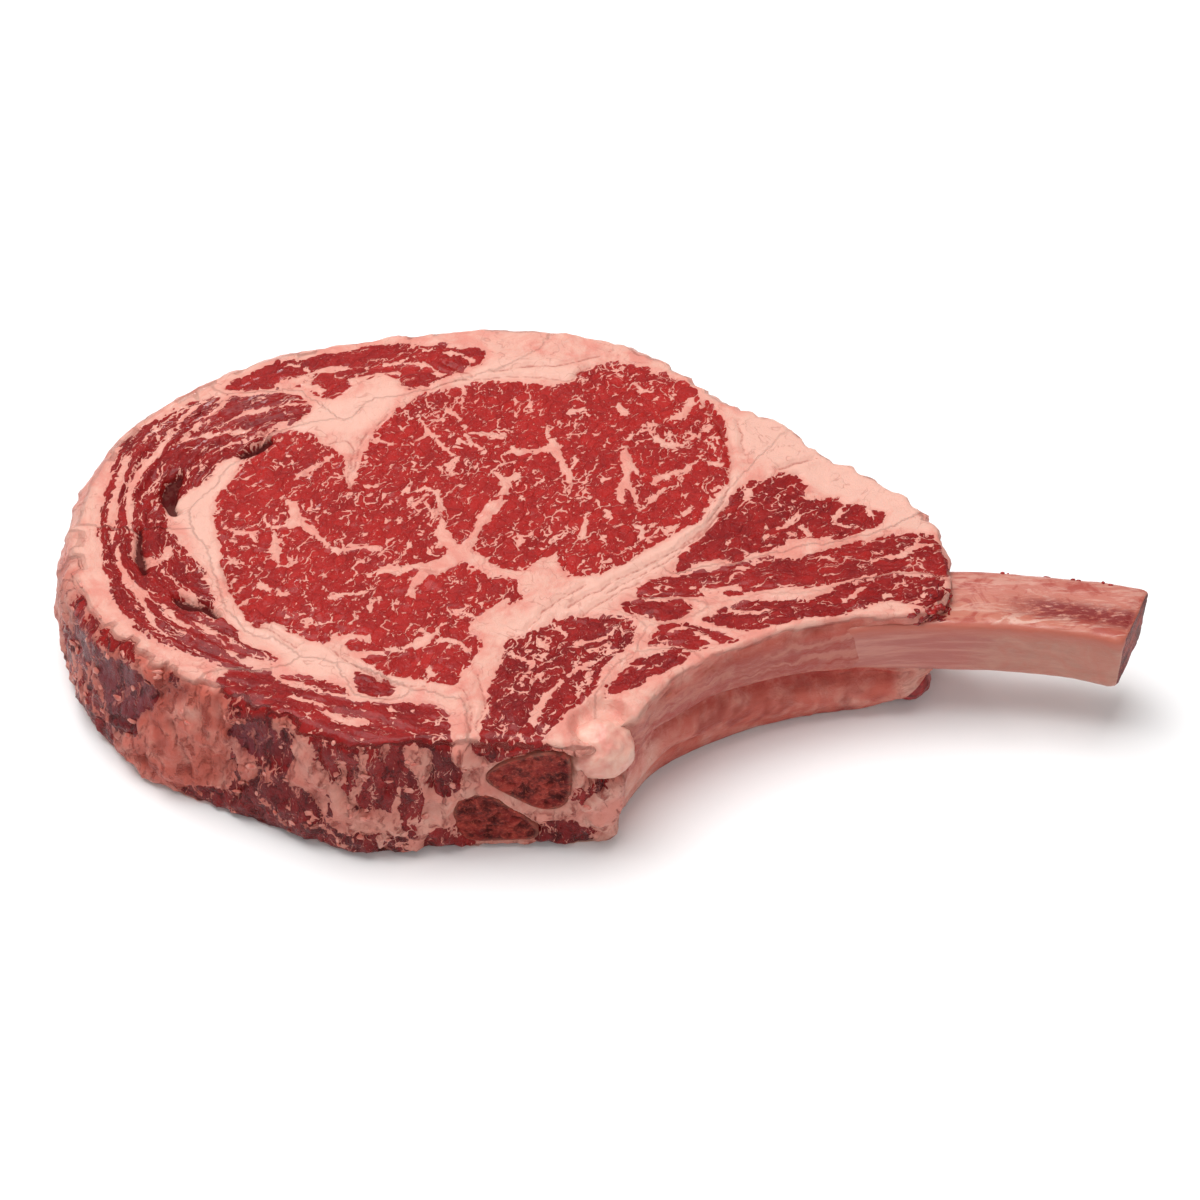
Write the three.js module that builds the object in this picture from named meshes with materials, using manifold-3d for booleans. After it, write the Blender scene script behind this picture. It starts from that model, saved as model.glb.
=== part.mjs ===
// A raw bone-in rib steak that lies on its lower cut face. The slab is cut across the rib
// muscles: a large eye, the cap that wraps it, the side muscle, the lip muscles, and the fat
// that fills the seams and covers the back. One rib runs along the hollow side and stands out
// at the right, scraped bare. Two sawn pieces of the chine show on the front.
// Millimetres, +Z up. Plan points are measured from a mark near the middle of the eye, and
// the finished steak is set with the middle of its footprint on the origin.
import * as THREE from 'three';
import { mergeVertices } from 'three/addons/utils/BufferGeometryUtils.js';
import Module from 'manifold-3d';

const wasm = await Module();
wasm.setup();

// ---------------------------------------------------------------- driving dimensions
const THICKNESS = 40;         // lower cut face to upper cut face
const CROWN = 0.5;            // most that the upper face swells above the thickness
const BELLY = 1.3;            // swell of the side between the two faces
const TOE = 3;                // rounding of the side's lower edge
const SEAM_GAP = 0.3;         // clearance between neighbouring solids
const SIDE_STEP = 7.6;        // spacing of the stations round the slab
const SEAM_STEP = 7.8;        // spacing of the points round a muscle
const FACE_STEP = 10.5;       // spacing of the grid on the upper face
const SIDE_BANDS = 5;         // bands of faces between the slab's rounded edges
const FACE_MARGIN = 10;       // how far a cutter reaches past what it cuts

// The slab's plan outline at the top of its side, anticlockwise from the left:
// [x, y, how far the foot of the side stands out, rounding of the upper edge].
const SLAB = [
  [-140.5, 27, 2, 8], [-137.5, 7.5, 2.5, 8], [-127, -10.5, 4, 7], [-110.5, -22, 6.5, 5],
  [-92, -32, 7, 3.5], [-73, -41.5, 6, 2.5], [-57.5, -48, 3.5, 2], [-35, -48, 1, 1.5],
  [-12, -48, 0, 1.5], [2.5, -48, -1, 2.5], [8.5, -41, -4, 2.5], [19, -26.5, -4, 2],
  [39, -13.5, -2.5, 1.5], [62.5, -6, -1.5, 1.5], [81, -4.5, -2.5, 2], [89, 3.5, -2.5, 2.5],
  [90.5, 15.5, -1, 2.5], [85.5, 32, 0.5, 2.5], [71.5, 45.5, 0.5, 2.5],
  [50, 64.5, 0.5, 2.5], [35, 75, 0.5, 3], [15.5, 93, 0.5, 3.5], [-7, 102.5, 1, 3.5],
  [-32, 104.5, 1, 3.5], [-65.5, 100.5, 1, 4.5], [-97, 91.5, 1.5, 6], [-119.5, 77.5, 2, 8],
  [-134.5, 57, 2.5, 8],
];

// Lobes, hollows and tears on the side: [x, y, height, reach along, reach up, push out].
const SIDE_CRAGS = [
  [-111.5, -21.5, 12, 13, 11.5, 2.1], [-121, -13, 27, 9.5, 7, -1.4],
  [-129.5, 0, 10.5, 9.5, 8, 1], [-95.5, -30.5, 15.5, 4.5, 8, -2.6],
  [-86, -35, 28, 6, 10.5, -1], [-75, -40, 11.5, 11.5, 8, 1],
  [-87, -34, 37.5, 7, 3.5, 1.2], [-56.5, -48, 35.5, 10.5, 5, 1.2],
  [-62.5, -46, 28.5, 4.5, 8.5, -1.6], [-48, -48, 30.5, 5, 8.5, -1.4],
  [-58.5, -47, 5, 7, 5, 1.1], [-40, -48, 32, 4.5, 7, -1.2],
  [-11.5, -48, 7, 6, 6, -1.6], [-138.5, 22.5, 17.5, 6, 5, 1.2],
  [60, 56, 21, 5, 26, -1.4], [36, 74, 21, 5, 26, -1.4], [-82.5, 95, 22.5, 12, 10.5, 0.9],
  [-121.5, 69.5, 17.5, 10.5, 8.5, -1.2], [8.5, 95.5, 15.5, 10.5, 8, 0.9],
];

// The hollow side carries a groove under the rib and a roll of fat under the groove.
const HOLLOW_SIDE = [[21, -24.5], [35, -15.5], [48.5, -9.5], [62.5, -6], [76.5, -4.5]];
const HOLLOW_REACH = 11.5;
const GROOVE = { start: 23, end: 15.5, reach: 3.2, push: -1.8 };
const FAT_ROLL = { drop: 8.5, reach: 5.2, push: 1 };

// Broad swells and hollows of the upper face: [x, y, reach, rise].
const FACE_SWELLS = [
  [-39, 35, 48, 0.6], [-65, 66, 11.5, 0.8], [-114, 39, 8, -2.6], [-123.5, 17.5, 14, -1.1],
  [-108.5, 4.5, 10.5, -0.8], [-111.5, 68, 14, -0.7], [52, 12, 19, 0.5], [63.5, 48, 14, -0.9],
  [-74, -17.5, 10.5, -0.8], [-19, -28, 14, 0.4], [-8.5, 94, 17.5, -0.5], [17.5, 19, 8.5, -0.6],
];
const FACE_WAVE = { height: 0.22, along: 15, across: 11 };

// The rib's centre line in plan, from the chine to its sawn end:
// [x, y, half of its width, height of its lower edge].
const RIB = [
  [3.5, -33, 7.5, 27], [7.8, -26, 9, 26], [14, -19.5, 9.8, 25], [23.5, -11.5, 10, 24],
  [35.5, -5.4, 10, 22.5], [48.5, -0.7, 10, 21.5], [62.5, 2.6, 10, 19.5], [76.5, 4.5, 10.2, 18],
  [94, 4.9, 10.4, 17], [109.5, 3.7, 10.2, 17.2], [124.5, 1.5, 10.3, 17],
  [137.5, -1.3, 10.8, 16.5],
];
const RIB_TOP = 37;           // height of the rib's upper edge
const RIB_SQUARENESS = 0.28;  // 1 is an ellipse, towards 0 is a rectangle
const RIB_SIDES = 16;
const RIB_STATIONS = 22;
const RIB_END_SKEW = THREE.MathUtils.degToRad(14);
const BONE = '#cfae97';

// Each muscle runs through the steak, or from a base height up where it lies over the rib.
// Its plan outline goes either way round.
const OVER_RIB = RIB_TOP + SEAM_GAP;
const RED = '#8e2129';
const DARK_RED = '#741a22';
const MUSCLES = {
  eye_of_rib: { color: RED, outline: [
    [-101, 29.5], [-94, 53], [-83.5, 61.5], [-76.5, 59], [-68.5, 41.5], [-63.5, 52],
    [-55.5, 69.5], [-43.5, 79], [-26, 82.5], [-8, 81.5], [0, 88.5], [10.5, 89.5],
    [22.5, 82.5], [32, 69.5], [35, 54], [29.5, 35.5], [19, 23.5], [3.5, 11.5], [-7, 8.5],
    [-13, 15], [-19, 7], [-21.5, -1], [-29.5, -8], [-32, -21], [-38.5, -28.5], [-52, -26],
    [-66, -15.5], [-85, -8.5], [-94, 0], [-98.5, 15.5]] },
  rib_cap_back: { color: RED, outline: [
    [-103.5, 81], [-93, 89.5], [-78.5, 95], [-61, 98.5], [-41.5, 98], [-31.5, 94.5],
    [-35, 88], [-47, 81.5], [-55.5, 81.5], [-62.5, 84.5], [-74, 78.5], [-88, 81]] },
  rib_cap_side: { color: DARK_RED, outline: [
    [-84.5, 76.5], [-100, 78.5], [-115.5, 70.5], [-127, 60], [-131.5, 43.5],
    [-131.5, 22.5], [-130.5, 10.5], [-139, 2.5], [-137.5, -10.5], [-127, -21],
    [-116.5, -26], [-109.5, -17.5], [-94, -22.5], [-86, -18.5], [-95, -10.5], [-101, -1.5],
    [-103.5, 12], [-110.5, 23.5], [-115, 36.5], [-108, 47], [-95, 54], [-88, 64.5],
    [-81, 70.5]] },
  rib_cap_front: { color: RED, outline: [
    [-94, -26], [-80, -24.5], [-67, -28.5], [-56.5, -35.5], [-41.5, -35.5], [-37.5, -44.5],
    [-37.5, -57.5], [-66, -61], [-92, -47], [-97.5, -33]] },
  cap_island: { color: RED, outline: [
    [-63.5, -24.5], [-56.5, -25], [-50.5, -29.5], [-53, -33], [-60, -30.5]] },
  side_muscle: { color: RED, outline: [
    [-23.5, -15], [-15.5, -8.5], [-7, -5], [3.5, -6], [8.5, -10.5], [6, -17.5],
    [-1.5, -24.5], [-5, -33], [-11.5, -41.5], [-15, -57.5], [-29.5, -57.5],
    [-28.5, -41.5], [-27, -26]] },
  lip_upper: { color: RED, outline: [
    [21, 10.5], [26, 23.5], [33, 36.5], [43.5, 44.5], [53, 45], [56.5, 37.5], [66, 36.5],
    [75.5, 31.5], [69.5, 25], [54, 21.5], [43.5, 16.5], [31.5, 13]] },
  lip_middle: { color: RED, outline: [
    [8.5, 3.5], [20, 8.5], [38.5, 12], [55.5, 17], [71.5, 22.5], [85, 24.5], [97.5, 23.5],
    [97.5, 12], [81.5, 10.5], [62.5, 6], [43.5, 3], [22.5, 1]] },
  lip_lower: { color: DARK_RED, base: OVER_RIB, outline: [
    [27, -6.5], [40, -0.5], [57.5, 2.5], [71.5, 7], [84.5, 9], [97.5, 9.5], [97.5, -1.5],
    [83.5, -2], [69.5, -2], [54, -6], [41, -10], [32, -10]] },
  lip_inner: { color: RED, outline: [
    [6, -3.5], [12, -1], [21.5, -1], [24.5, -4], [17.5, -7.5], [10.5, -6.5]] },
  rib_strip_left: { color: RED, base: OVER_RIB, outline: [
    [0, -31.5], [5, -24], [14, -18.5], [21.5, -19], [15.5, -25], [8, -31.5]] },
  rib_strip_right: { color: RED, base: OVER_RIB, outline: [
    [13, -15], [21, -9], [30.5, -11.5], [35, -14], [27, -17], [19, -16.5]] },
};

// Sawn faces of the chine on the front, seen from the front: [x, height].
const CHINE_FRONT = -48.9;     // the sawn plane
const CHINE_DEPTH = 12;
const CHINE = {
  chine_bone_upper: [
    [-28, 27], [-24.5, 33], [-16.5, 36.5], [-8.5, 36.5], [-7, 29.5], [-8, 19],
    [-13, 15.5], [-19, 18.5]],
  chine_bone_lower: [
    [-36.5, 11], [-35.5, 18.5], [-29.5, 21.5], [-23.5, 17.5], [-16.5, 9.5], [-16, 5],
    [-21, 3.5], [-33, 3.5]],
};
const MARROW = '#7d4a42';

// Rounded lumps: centre and half sizes.
const KNOB = { center: [0.5, -41.5, 32.5], half: [8.5, 7.6, 7.6], color: '#e3bfae' };
const END_LOBE = { center: [82, 3.5, 5.5], half: [6, 6, 5.5], color: '#5f141b' };
const LUMP_SIDES = 14;
const LUMP_RINGS = 8;

const FAT = '#dfa795';

// ---------------------------------------------------------------- solids
// A closed geometry as an exact solid: only its merged positions count.
function solid(geometry) {
  geometry.deleteAttribute('normal');
  geometry.deleteAttribute('uv');
  const merged = mergeVertices(geometry, 1e-4);
  return new wasm.Manifold(new wasm.Mesh({
    numProp: 3,
    vertProperties: new Float32Array(merged.attributes.position.array),
    triVerts: new Uint32Array(merged.index.array),
  }));
}

// The exact solid as a named mesh with its own material.
function mesh(name, body, color, roughness) {
  const { vertProperties, triVerts } = body.getMesh();
  const geometry = new THREE.BufferGeometry();
  geometry.setAttribute('position', new THREE.BufferAttribute(vertProperties, 3));
  geometry.setIndex(new THREE.BufferAttribute(triVerts, 1));
  const flat = geometry.toNonIndexed();
  flat.computeVertexNormals();
  const material = new THREE.MeshStandardMaterial({ color, roughness, metalness: 0 });
  const named = new THREE.Mesh(flat, material);
  named.name = name;
  return named;
}

// The largest body of a cut, without the loose scraps beside it.
function largest(body) {
  const pieces = body.decompose();
  pieces.sort((a, b) => b.volume() - a.volume());
  return pieces[0];
}

// A skin through rings of points, shut at both ends. flatten gives a ring's points in its
// own plane, so that the ends can be filled.
function loft(rings, flatten) {
  const size = rings[0].length;
  const positions = rings.flat().flatMap((p) => [p.x, p.y, p.z]);
  const faces = [];
  for (let ring = 0; ring + 1 < rings.length; ring += 1) {
    for (let k = 0; k < size; k += 1) {
      const a = ring * size + k;
      const b = ring * size + (k + 1) % size;
      faces.push(a, b, b + size, a, b + size, a + size);
    }
  }
  const top = (rings.length - 1) * size;
  for (const [a, b, c] of THREE.ShapeUtils.triangulateShape(flatten(rings[0]), [])) {
    faces.push(c, b, a);
  }
  for (const [a, b, c] of THREE.ShapeUtils.triangulateShape(flatten(rings.at(-1)), [])) {
    faces.push(top + a, top + b, top + c);
  }
  const geometry = new THREE.BufferGeometry();
  geometry.setAttribute('position', new THREE.Float32BufferAttribute(positions, 3));
  geometry.setIndex(faces);
  return solid(geometry);
}

// A smooth closed line through plan points, walked in even steps.
function roundedOutline(points, step) {
  const corners = points.map(([x, y]) => new THREE.Vector3(x, y, 0));
  const curve = new THREE.CatmullRomCurve3(corners, true, 'centripetal');
  const count = Math.round(curve.getLength() / step);
  return curve.getSpacedPoints(count).slice(0, -1).map((p) => new THREE.Vector2(p.x, p.y));
}

// The same outline with every point moved out along its normal.
function grown(outline, amount) {
  const outward = THREE.ShapeUtils.isClockWise(outline) ? -1 : 1;
  return outline.map((p, k) => {
    const before = outline.at(k - 1);
    const after = outline[(k + 1) % outline.length];
    const along = after.clone().sub(before).normalize();
    return new THREE.Vector2(along.y, -along.x).multiplyScalar(amount * outward).add(p);
  });
}

function extrude(outline, depth) {
  const shape = new THREE.Shape(outline);
  return new THREE.ExtrudeGeometry(shape, { depth, bevelEnabled: false });
}

// ---------------------------------------------------------------- the slab
function bell(distance, reach) {
  return Math.exp(-((distance / reach) ** 2));
}

// How far lobes and tears push the side out at one place.
function sidePush(point, height) {
  let push = 0;
  for (const [x, y, level, along, up, amount] of SIDE_CRAGS) {
    const near = bell(Math.hypot(point.x - x, point.y - y), along);
    push += amount * near * bell(height - level, up);
  }
  HOLLOW_SIDE.forEach(([x, y], k) => {
    const share = k / (HOLLOW_SIDE.length - 1);
    const groove = THREE.MathUtils.lerp(GROOVE.start, GROOVE.end, share);
    const near = bell(Math.hypot(point.x - x, point.y - y), HOLLOW_REACH);
    push += GROOVE.push * near * bell(height - groove, GROOVE.reach);
    push += FAT_ROLL.push * near * bell(height - groove + FAT_ROLL.drop, FAT_ROLL.reach);
  });
  return push;
}

// The side's profile at one station: heights with how far each stands in from the edge.
function sideProfile(shoulder) {
  const top = THICKNESS + CROWN;
  const profile = [[0, TOE], [TOE * (1 - Math.SQRT1_2), TOE * (1 - Math.SQRT1_2)]];
  for (let band = 0; band <= SIDE_BANDS; band += 1) {
    profile.push([THREE.MathUtils.lerp(TOE, top - shoulder, band / SIDE_BANDS), 0]);
  }
  profile.push([top - shoulder * (1 - Math.SQRT1_2), shoulder * (1 - Math.SQRT1_2)]);
  profile.push([top, shoulder]);
  return profile;
}

function slabRings() {
  const at = (x, y) => new THREE.Vector3(x, y, 0);
  const plan = new THREE.CatmullRomCurve3(SLAB.map(([x, y]) => at(x, y)), true);
  const edge = new THREE.CatmullRomCurve3(SLAB.map((row) => at(row[2], row[3])), true);
  const stations = Math.round(plan.getLength() / SIDE_STEP);
  const rings = sideProfile(0).map(() => []);
  for (let k = 0; k < stations; k += 1) {
    const t = plan.getUtoTmapping(k / stations);
    const point = plan.getPoint(t);
    const along = plan.getTangent(t);
    const { x: foot, y: shoulder } = edge.getPoint(t);
    sideProfile(shoulder).forEach(([height, inset], ring) => {
      const share = height / THICKNESS;
      const swell = BELLY * Math.sin(Math.PI * Math.min(share, 1));
      const push = foot * (1 - share) + swell + sidePush(point, height) - inset;
      rings[ring].push(at(point.x + along.y * push, point.y - along.x * push).setZ(height));
    });
  }
  return rings;
}

function faceHeight(x, y) {
  let height = THICKNESS;
  for (const [cx, cy, reach, rise] of FACE_SWELLS) {
    height += rise * bell(Math.hypot(x - cx, y - cy), reach);
  }
  const { height: wave, along, across } = FACE_WAVE;
  return height + wave * Math.sin(x / along + y / across) * Math.cos(y / along - x / across);
}

// Everything under the uneven upper face, as one block round the slab.
function underUpperFace() {
  const reach = new THREE.Box2().setFromPoints(SLAB.map(([x, y]) => new THREE.Vector2(x, y)));
  reach.expandByScalar(FACE_MARGIN);
  const size = reach.getSize(new THREE.Vector2());
  const center = reach.getCenter(new THREE.Vector2());
  const columns = Math.round(size.x / FACE_STEP);
  const rows = Math.round(size.y / FACE_STEP);
  const block = new THREE.BoxGeometry(size.x, size.y, THICKNESS, columns, rows, 1);
  block.translate(center.x, center.y, THICKNESS / 2);
  const position = block.attributes.position;
  for (let k = 0; k < position.count; k += 1) {
    const upper = position.getZ(k) > THICKNESS / 2;
    const height = faceHeight(position.getX(k), position.getY(k));
    position.setZ(k, upper ? height : -FACE_MARGIN);
  }
  return solid(block);
}

// ---------------------------------------------------------------- bones and lumps
// The rib is a rounded bar, cut off at a slant; extra makes it stand that much fuller.
function rib(extra) {
  const line = new THREE.CatmullRomCurve3(RIB.map(([x, y]) => new THREE.Vector3(x, y, 0)));
  const form = new THREE.CatmullRomCurve3(RIB.map(([, , w, z]) => new THREE.Vector3(w, z, 0)));
  const rounded = (value) => Math.sign(value) * Math.abs(value) ** RIB_SQUARENESS;
  const rings = [];
  for (let k = 0; k <= RIB_STATIONS; k += 1) {
    const t = line.getUtoTmapping(k / RIB_STATIONS);
    const center = line.getPoint(t);
    const along = line.getTangent(t);
    const { x: halfWidth, y: bottom } = form.getPoint(t);
    const skew = k === RIB_STATIONS ? Math.tan(RIB_END_SKEW) : 0;
    const overrun = extra * (k === 0 ? -1 : Number(k === RIB_STATIONS));
    const ring = [];
    for (let side = 0; side < RIB_SIDES; side += 1) {
      const angle = (side / RIB_SIDES) * 2 * Math.PI;
      const out = (halfWidth + extra) * rounded(Math.cos(angle));
      const up = ((RIB_TOP - bottom) / 2 + extra) * rounded(Math.sin(angle));
      const ahead = overrun + skew * out;
      ring.push(new THREE.Vector3(
        center.x - along.y * out + along.x * ahead,
        center.y + along.x * out + along.y * ahead,
        (RIB_TOP + bottom) / 2 + up,
      ));
    }
    rings.push(ring);
  }
  const flatten = () => rings[0].map((_, side) => {
    const angle = (side / RIB_SIDES) * 2 * Math.PI;
    return new THREE.Vector2(rounded(Math.cos(angle)), rounded(Math.sin(angle)));
  });
  return loft(rings, flatten);
}

function chineBone(points, extra) {
  const outline = grown(roundedOutline(points, SEAM_STEP / 2), extra);
  const block = extrude(outline, CHINE_DEPTH + 2 * extra);
  block.rotateX(Math.PI / 2);
  block.translate(0, CHINE_FRONT + CHINE_DEPTH + extra, 0);
  return solid(block);
}

function lump({ center, half }, extra) {
  const ball = new THREE.SphereGeometry(1, LUMP_SIDES, LUMP_RINGS);
  ball.rotateX(Math.PI / 2);
  ball.scale(...half.map((size) => size + extra));
  ball.translate(...center);
  return solid(ball);
}

// ---------------------------------------------------------------- the steak
const RAW_MEAT_ROUGHNESS = 0.35;
const RAW_FAT_ROUGHNESS = 0.45;
const RAW_BONE_ROUGHNESS = 0.5;

const steak = new THREE.Group();
const slab = loft(slabRings(), (ring) => ring.map((p) => new THREE.Vector2(p.x, p.y)))
  .intersect(underUpperFace());

// Bones and lumps keep their whole form: the meat is cut away round them.
let rest = slab;
const addHard = (name, whole, clearance, color) => {
  rest = rest.subtract(clearance);
  steak.add(mesh(name, whole, color, RAW_BONE_ROUGHNESS));
};
const knobClearance = lump(KNOB, SEAM_GAP);
addHard('rib_bone', rib(0).subtract(knobClearance), rib(SEAM_GAP), BONE);
for (const [name, points] of Object.entries(CHINE)) {
  addHard(name, chineBone(points, 0).subtract(knobClearance), chineBone(points, SEAM_GAP), MARROW);
}
addHard('cartilage_knob', lump(KNOB, 0), knobClearance, KNOB.color);
addHard('rib_end_lobe', lump(END_LOBE, 0), lump(END_LOBE, SEAM_GAP), END_LOBE.color);

// Each muscle is what its outline cuts from the meat, and the fat is what is left.
function column(outline, bottom) {
  const height = THICKNESS + FACE_MARGIN - bottom;
  return solid(extrude(outline, height).translate(0, 0, bottom));
}
for (const [name, { color, base = -FACE_MARGIN, outline }] of Object.entries(MUSCLES)) {
  const edge = roundedOutline(outline, SEAM_STEP);
  const muscle = largest(rest.intersect(column(edge, base)));
  steak.add(mesh(name, muscle, color, RAW_MEAT_ROUGHNESS));
  rest = rest.subtract(column(grown(edge, SEAM_GAP), base - SEAM_GAP));
}
steak.add(mesh('fat', largest(rest), FAT, RAW_FAT_ROUGHNESS));

// The middle of the footprint comes to the origin.
const footprint = new THREE.Box3().setFromObject(steak);
const middle = footprint.getCenter(new THREE.Vector3());
steak.position.set(-middle.x, -middle.y, -footprint.min.z);

export default steak;
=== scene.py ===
"""A raw bone-in rib steak on a pale studio floor.

The meat is one closed skin over the slab's own sizes: a dense cut face, a torn side and the
flat face it lies on. Fields on its points say how far each place is from the nearest seam of
fat, which way the muscle runs, and where membrane, hard fat and folds lie; the raw meat
material reads them. The scraped rib, the sawn chine and the gristle are pieces of their own.
Plan points are in millimetres from a mark near the middle of the eye, as in the frame's own
source, and "along the front" is measured round the side from the left end.
"""

import functools
import math

import bmesh
import bpy
import numpy as np
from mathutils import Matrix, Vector
from mathutils.geometry import delaunay_2d_cdt


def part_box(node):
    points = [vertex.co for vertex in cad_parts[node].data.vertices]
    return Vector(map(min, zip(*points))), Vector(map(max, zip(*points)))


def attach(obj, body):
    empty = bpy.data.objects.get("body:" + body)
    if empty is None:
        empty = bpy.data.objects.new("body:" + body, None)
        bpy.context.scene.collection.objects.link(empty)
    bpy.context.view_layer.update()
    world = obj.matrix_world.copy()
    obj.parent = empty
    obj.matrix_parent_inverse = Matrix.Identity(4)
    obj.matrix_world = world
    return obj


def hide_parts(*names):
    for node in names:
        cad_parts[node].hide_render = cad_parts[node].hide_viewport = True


bl_info = {
    "name": "Raw rib steak",
    "version": (1, 0, 0),
    "blender": (4, 5, 0),
    "location": "3D View > Sidebar > Steak",
    "description": "Dresses the rib steak's frame with raw meat, fat and bone",
    "category": "Mesh",
}

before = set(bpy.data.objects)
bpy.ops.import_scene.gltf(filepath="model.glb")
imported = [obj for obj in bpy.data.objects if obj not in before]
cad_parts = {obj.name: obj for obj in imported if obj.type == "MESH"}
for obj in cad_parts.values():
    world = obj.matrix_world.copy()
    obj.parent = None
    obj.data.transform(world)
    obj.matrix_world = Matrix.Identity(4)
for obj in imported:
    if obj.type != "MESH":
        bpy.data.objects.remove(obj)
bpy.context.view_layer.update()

# Sizes in millimetres. The slab is THICKNESS high, the swells of its face rise at most CROWN
# above that, its side bulges by BELLY, and TOE is the rounding of its lower edge.
MM = 0.001
THICKNESS = 40.0
CROWN = 0.5
BELLY = 1.3
TOE = 3.0

# The knob of gristle, and how deep its bed in the meat is.
KNOB_CENTRE = np.array([0.5, -41.5, 32.5])
KNOB_BED = 2.9
KNOB_REACH = (9.4, 10, 10.5)

# Stands for a distance to nothing, farther than any part of the steak.
FAR = 1e9

# The slab's outline at the top of its side, anticlockwise from the left:
# x, y, how far the foot stands out, rounding of the upper edge.
SLAB = [
    (-140.5, 27, 2, 8), (-137.5, 7.5, 2.5, 8), (-127, -10.5, 4, 7), (-110.5, -22, 6.5, 5),
    (-92, -32, 7, 3.5), (-73, -41.5, 6, 2.5), (-57.5, -48, 3.5, 2.5), (-35, -48, 1, 3.5),
    (-12, -48, 0, 3.5), (2.5, -48, -1, 4.5), (8.5, -41, -4, 4), (19, -26.5, -4, 2.5),
    (39, -13.5, -2.5, 1.5), (62.5, -6, -1.5, 1.5), (81, -4.5, -2.5, 2), (89, 3.5, -2.5, 2.5),
    (90.5, 15.5, -1, 2.5), (85.5, 32, 0.5, 2.5), (71.5, 45.5, 0.5, 2.5),
    (50, 64.5, 0.5, 2.5), (35, 75, 0.5, 3), (15.5, 93, 0.5, 3.5), (-7, 102.5, 1, 3.5),
    (-32, 104.5, 1, 3.5), (-65.5, 100.5, 1, 4.5), (-97, 91.5, 1.5, 6), (-119.5, 77.5, 2, 8),
    (-134.5, 57, 2.5, 8),
]

# Lobes, hollows and tears on the side: x, y, height, reach along, reach up, push out.
SIDE_CRAGS = [
    (-111.5, -21.5, 12, 13, 11.5, 2.1), (-121, -13, 27, 9.5, 7, -1.4),
    (-129.5, 0, 10.5, 9.5, 8, 1), (-95.5, -30.5, 15.5, 4.5, 8, -2.6),
    (-86, -35, 28, 6, 10.5, -1), (-75, -40, 11.5, 11.5, 8, 1),
    (-87, -34, 37.5, 7, 3.5, 1.2), (-56.5, -48, 35.5, 10.5, 5, 1.2),
    (-62.5, -46, 28.5, 4.5, 8.5, -1.6), (-48, -48, 30.5, 5, 8.5, -1.4),
    (-58.5, -47, 5, 7, 5, 1.1), (-40, -48, 32, 4.5, 7, -1.2),
    (-11.5, -48, 7, 6, 6, -1.6), (-138.5, 22.5, 17.5, 6, 5, 1.2),
    (60, 56, 21, 5, 26, -1.4), (36, 74, 21, 5, 26, -1.4), (-82.5, 95, 22.5, 12, 10.5, 0.9),
    (-121.5, 69.5, 17.5, 10.5, 8.5, -1.2), (8.5, 95.5, 15.5, 10.5, 8, 0.9),
]

# The hollow side has a groove under the rib, given as its height at either end, reach and
# push, and a roll of fat under it, given as its drop, reach and push.
HOLLOW_SIDE = [(21, -24.5), (35, -15.5), (48.5, -9.5), (62.5, -6), (76.5, -4.5)]
HOLLOW_REACH = 11.5
GROOVE = (23.0, 15.5, 3.2, -1.8)
FAT_ROLL = (8.5, 5.2, 1.0)

# Side of the sheet that the meat's skin is laid out on for its colour bake.
BAKE_SHEET = 304

# Broad swells and hollows of the cut face: x, y, reach, rise.
FACE_SWELLS = [
    (-39, 35, 48, 0.6), (-65, 66, 11.5, 0.8), (-114, 39, 8, -2.6), (-123.5, 17.5, 14, -1.1),
    (-108.5, 4.5, 10.5, -0.8), (-111.5, 68, 14, -0.7), (52, 12, 19, 0.5), (63.5, 48, 14, -0.9),
    (-74, -17.5, 10.5, -0.8), (-19, -28, 14, 0.4), (-8.5, 94, 17.5, -0.5), (17.5, 19, 8.5, -0.6),
]

# The rib's centre line: x, y, half of its width, height of its lower edge.
RIB = [
    (3.5, -33, 7.5, 27), (7.8, -26, 9, 26), (14, -19.5, 9.8, 25), (23.5, -11.5, 10, 24),
    (35.5, -5.4, 10, 22.5), (48.5, -0.7, 10, 21.5), (62.5, 2.6, 10, 19.5),
    (76.5, 4.5, 10.2, 18), (94, 4.9, 10.4, 17), (109.5, 3.7, 10.2, 17.2),
    (124.5, 1.5, 10.3, 17), (137.5, -1.3, 10.8, 16.5),
]
RIB_TOP = 37.0
RIB_SAW_ANGLE = math.radians(13)

# Where the rib leaves the meat, at the upper edge.
NECK = np.array([86.0, -2.0, 35.5])

# Sawn faces of the chine on the front: x, height.
CHINE_FRONT = -48.9
CHINE_DEPTH = 12.0
CHINE = {
    "chine_bone_upper": [
        (-28, 27), (-24.5, 33), (-16.5, 36.5), (-8.5, 36.5), (-7, 29.5), (-8, 19),
        (-13, 15.5), (-19, 18.5)],
    "chine_bone_lower": [
        (-36.5, 11), (-35.5, 18.5), (-29.5, 21.5), (-23.5, 17.5), (-16.5, 9.5), (-16, 5),
        (-21, 3.5), (-33, 3.5)],
}

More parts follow.
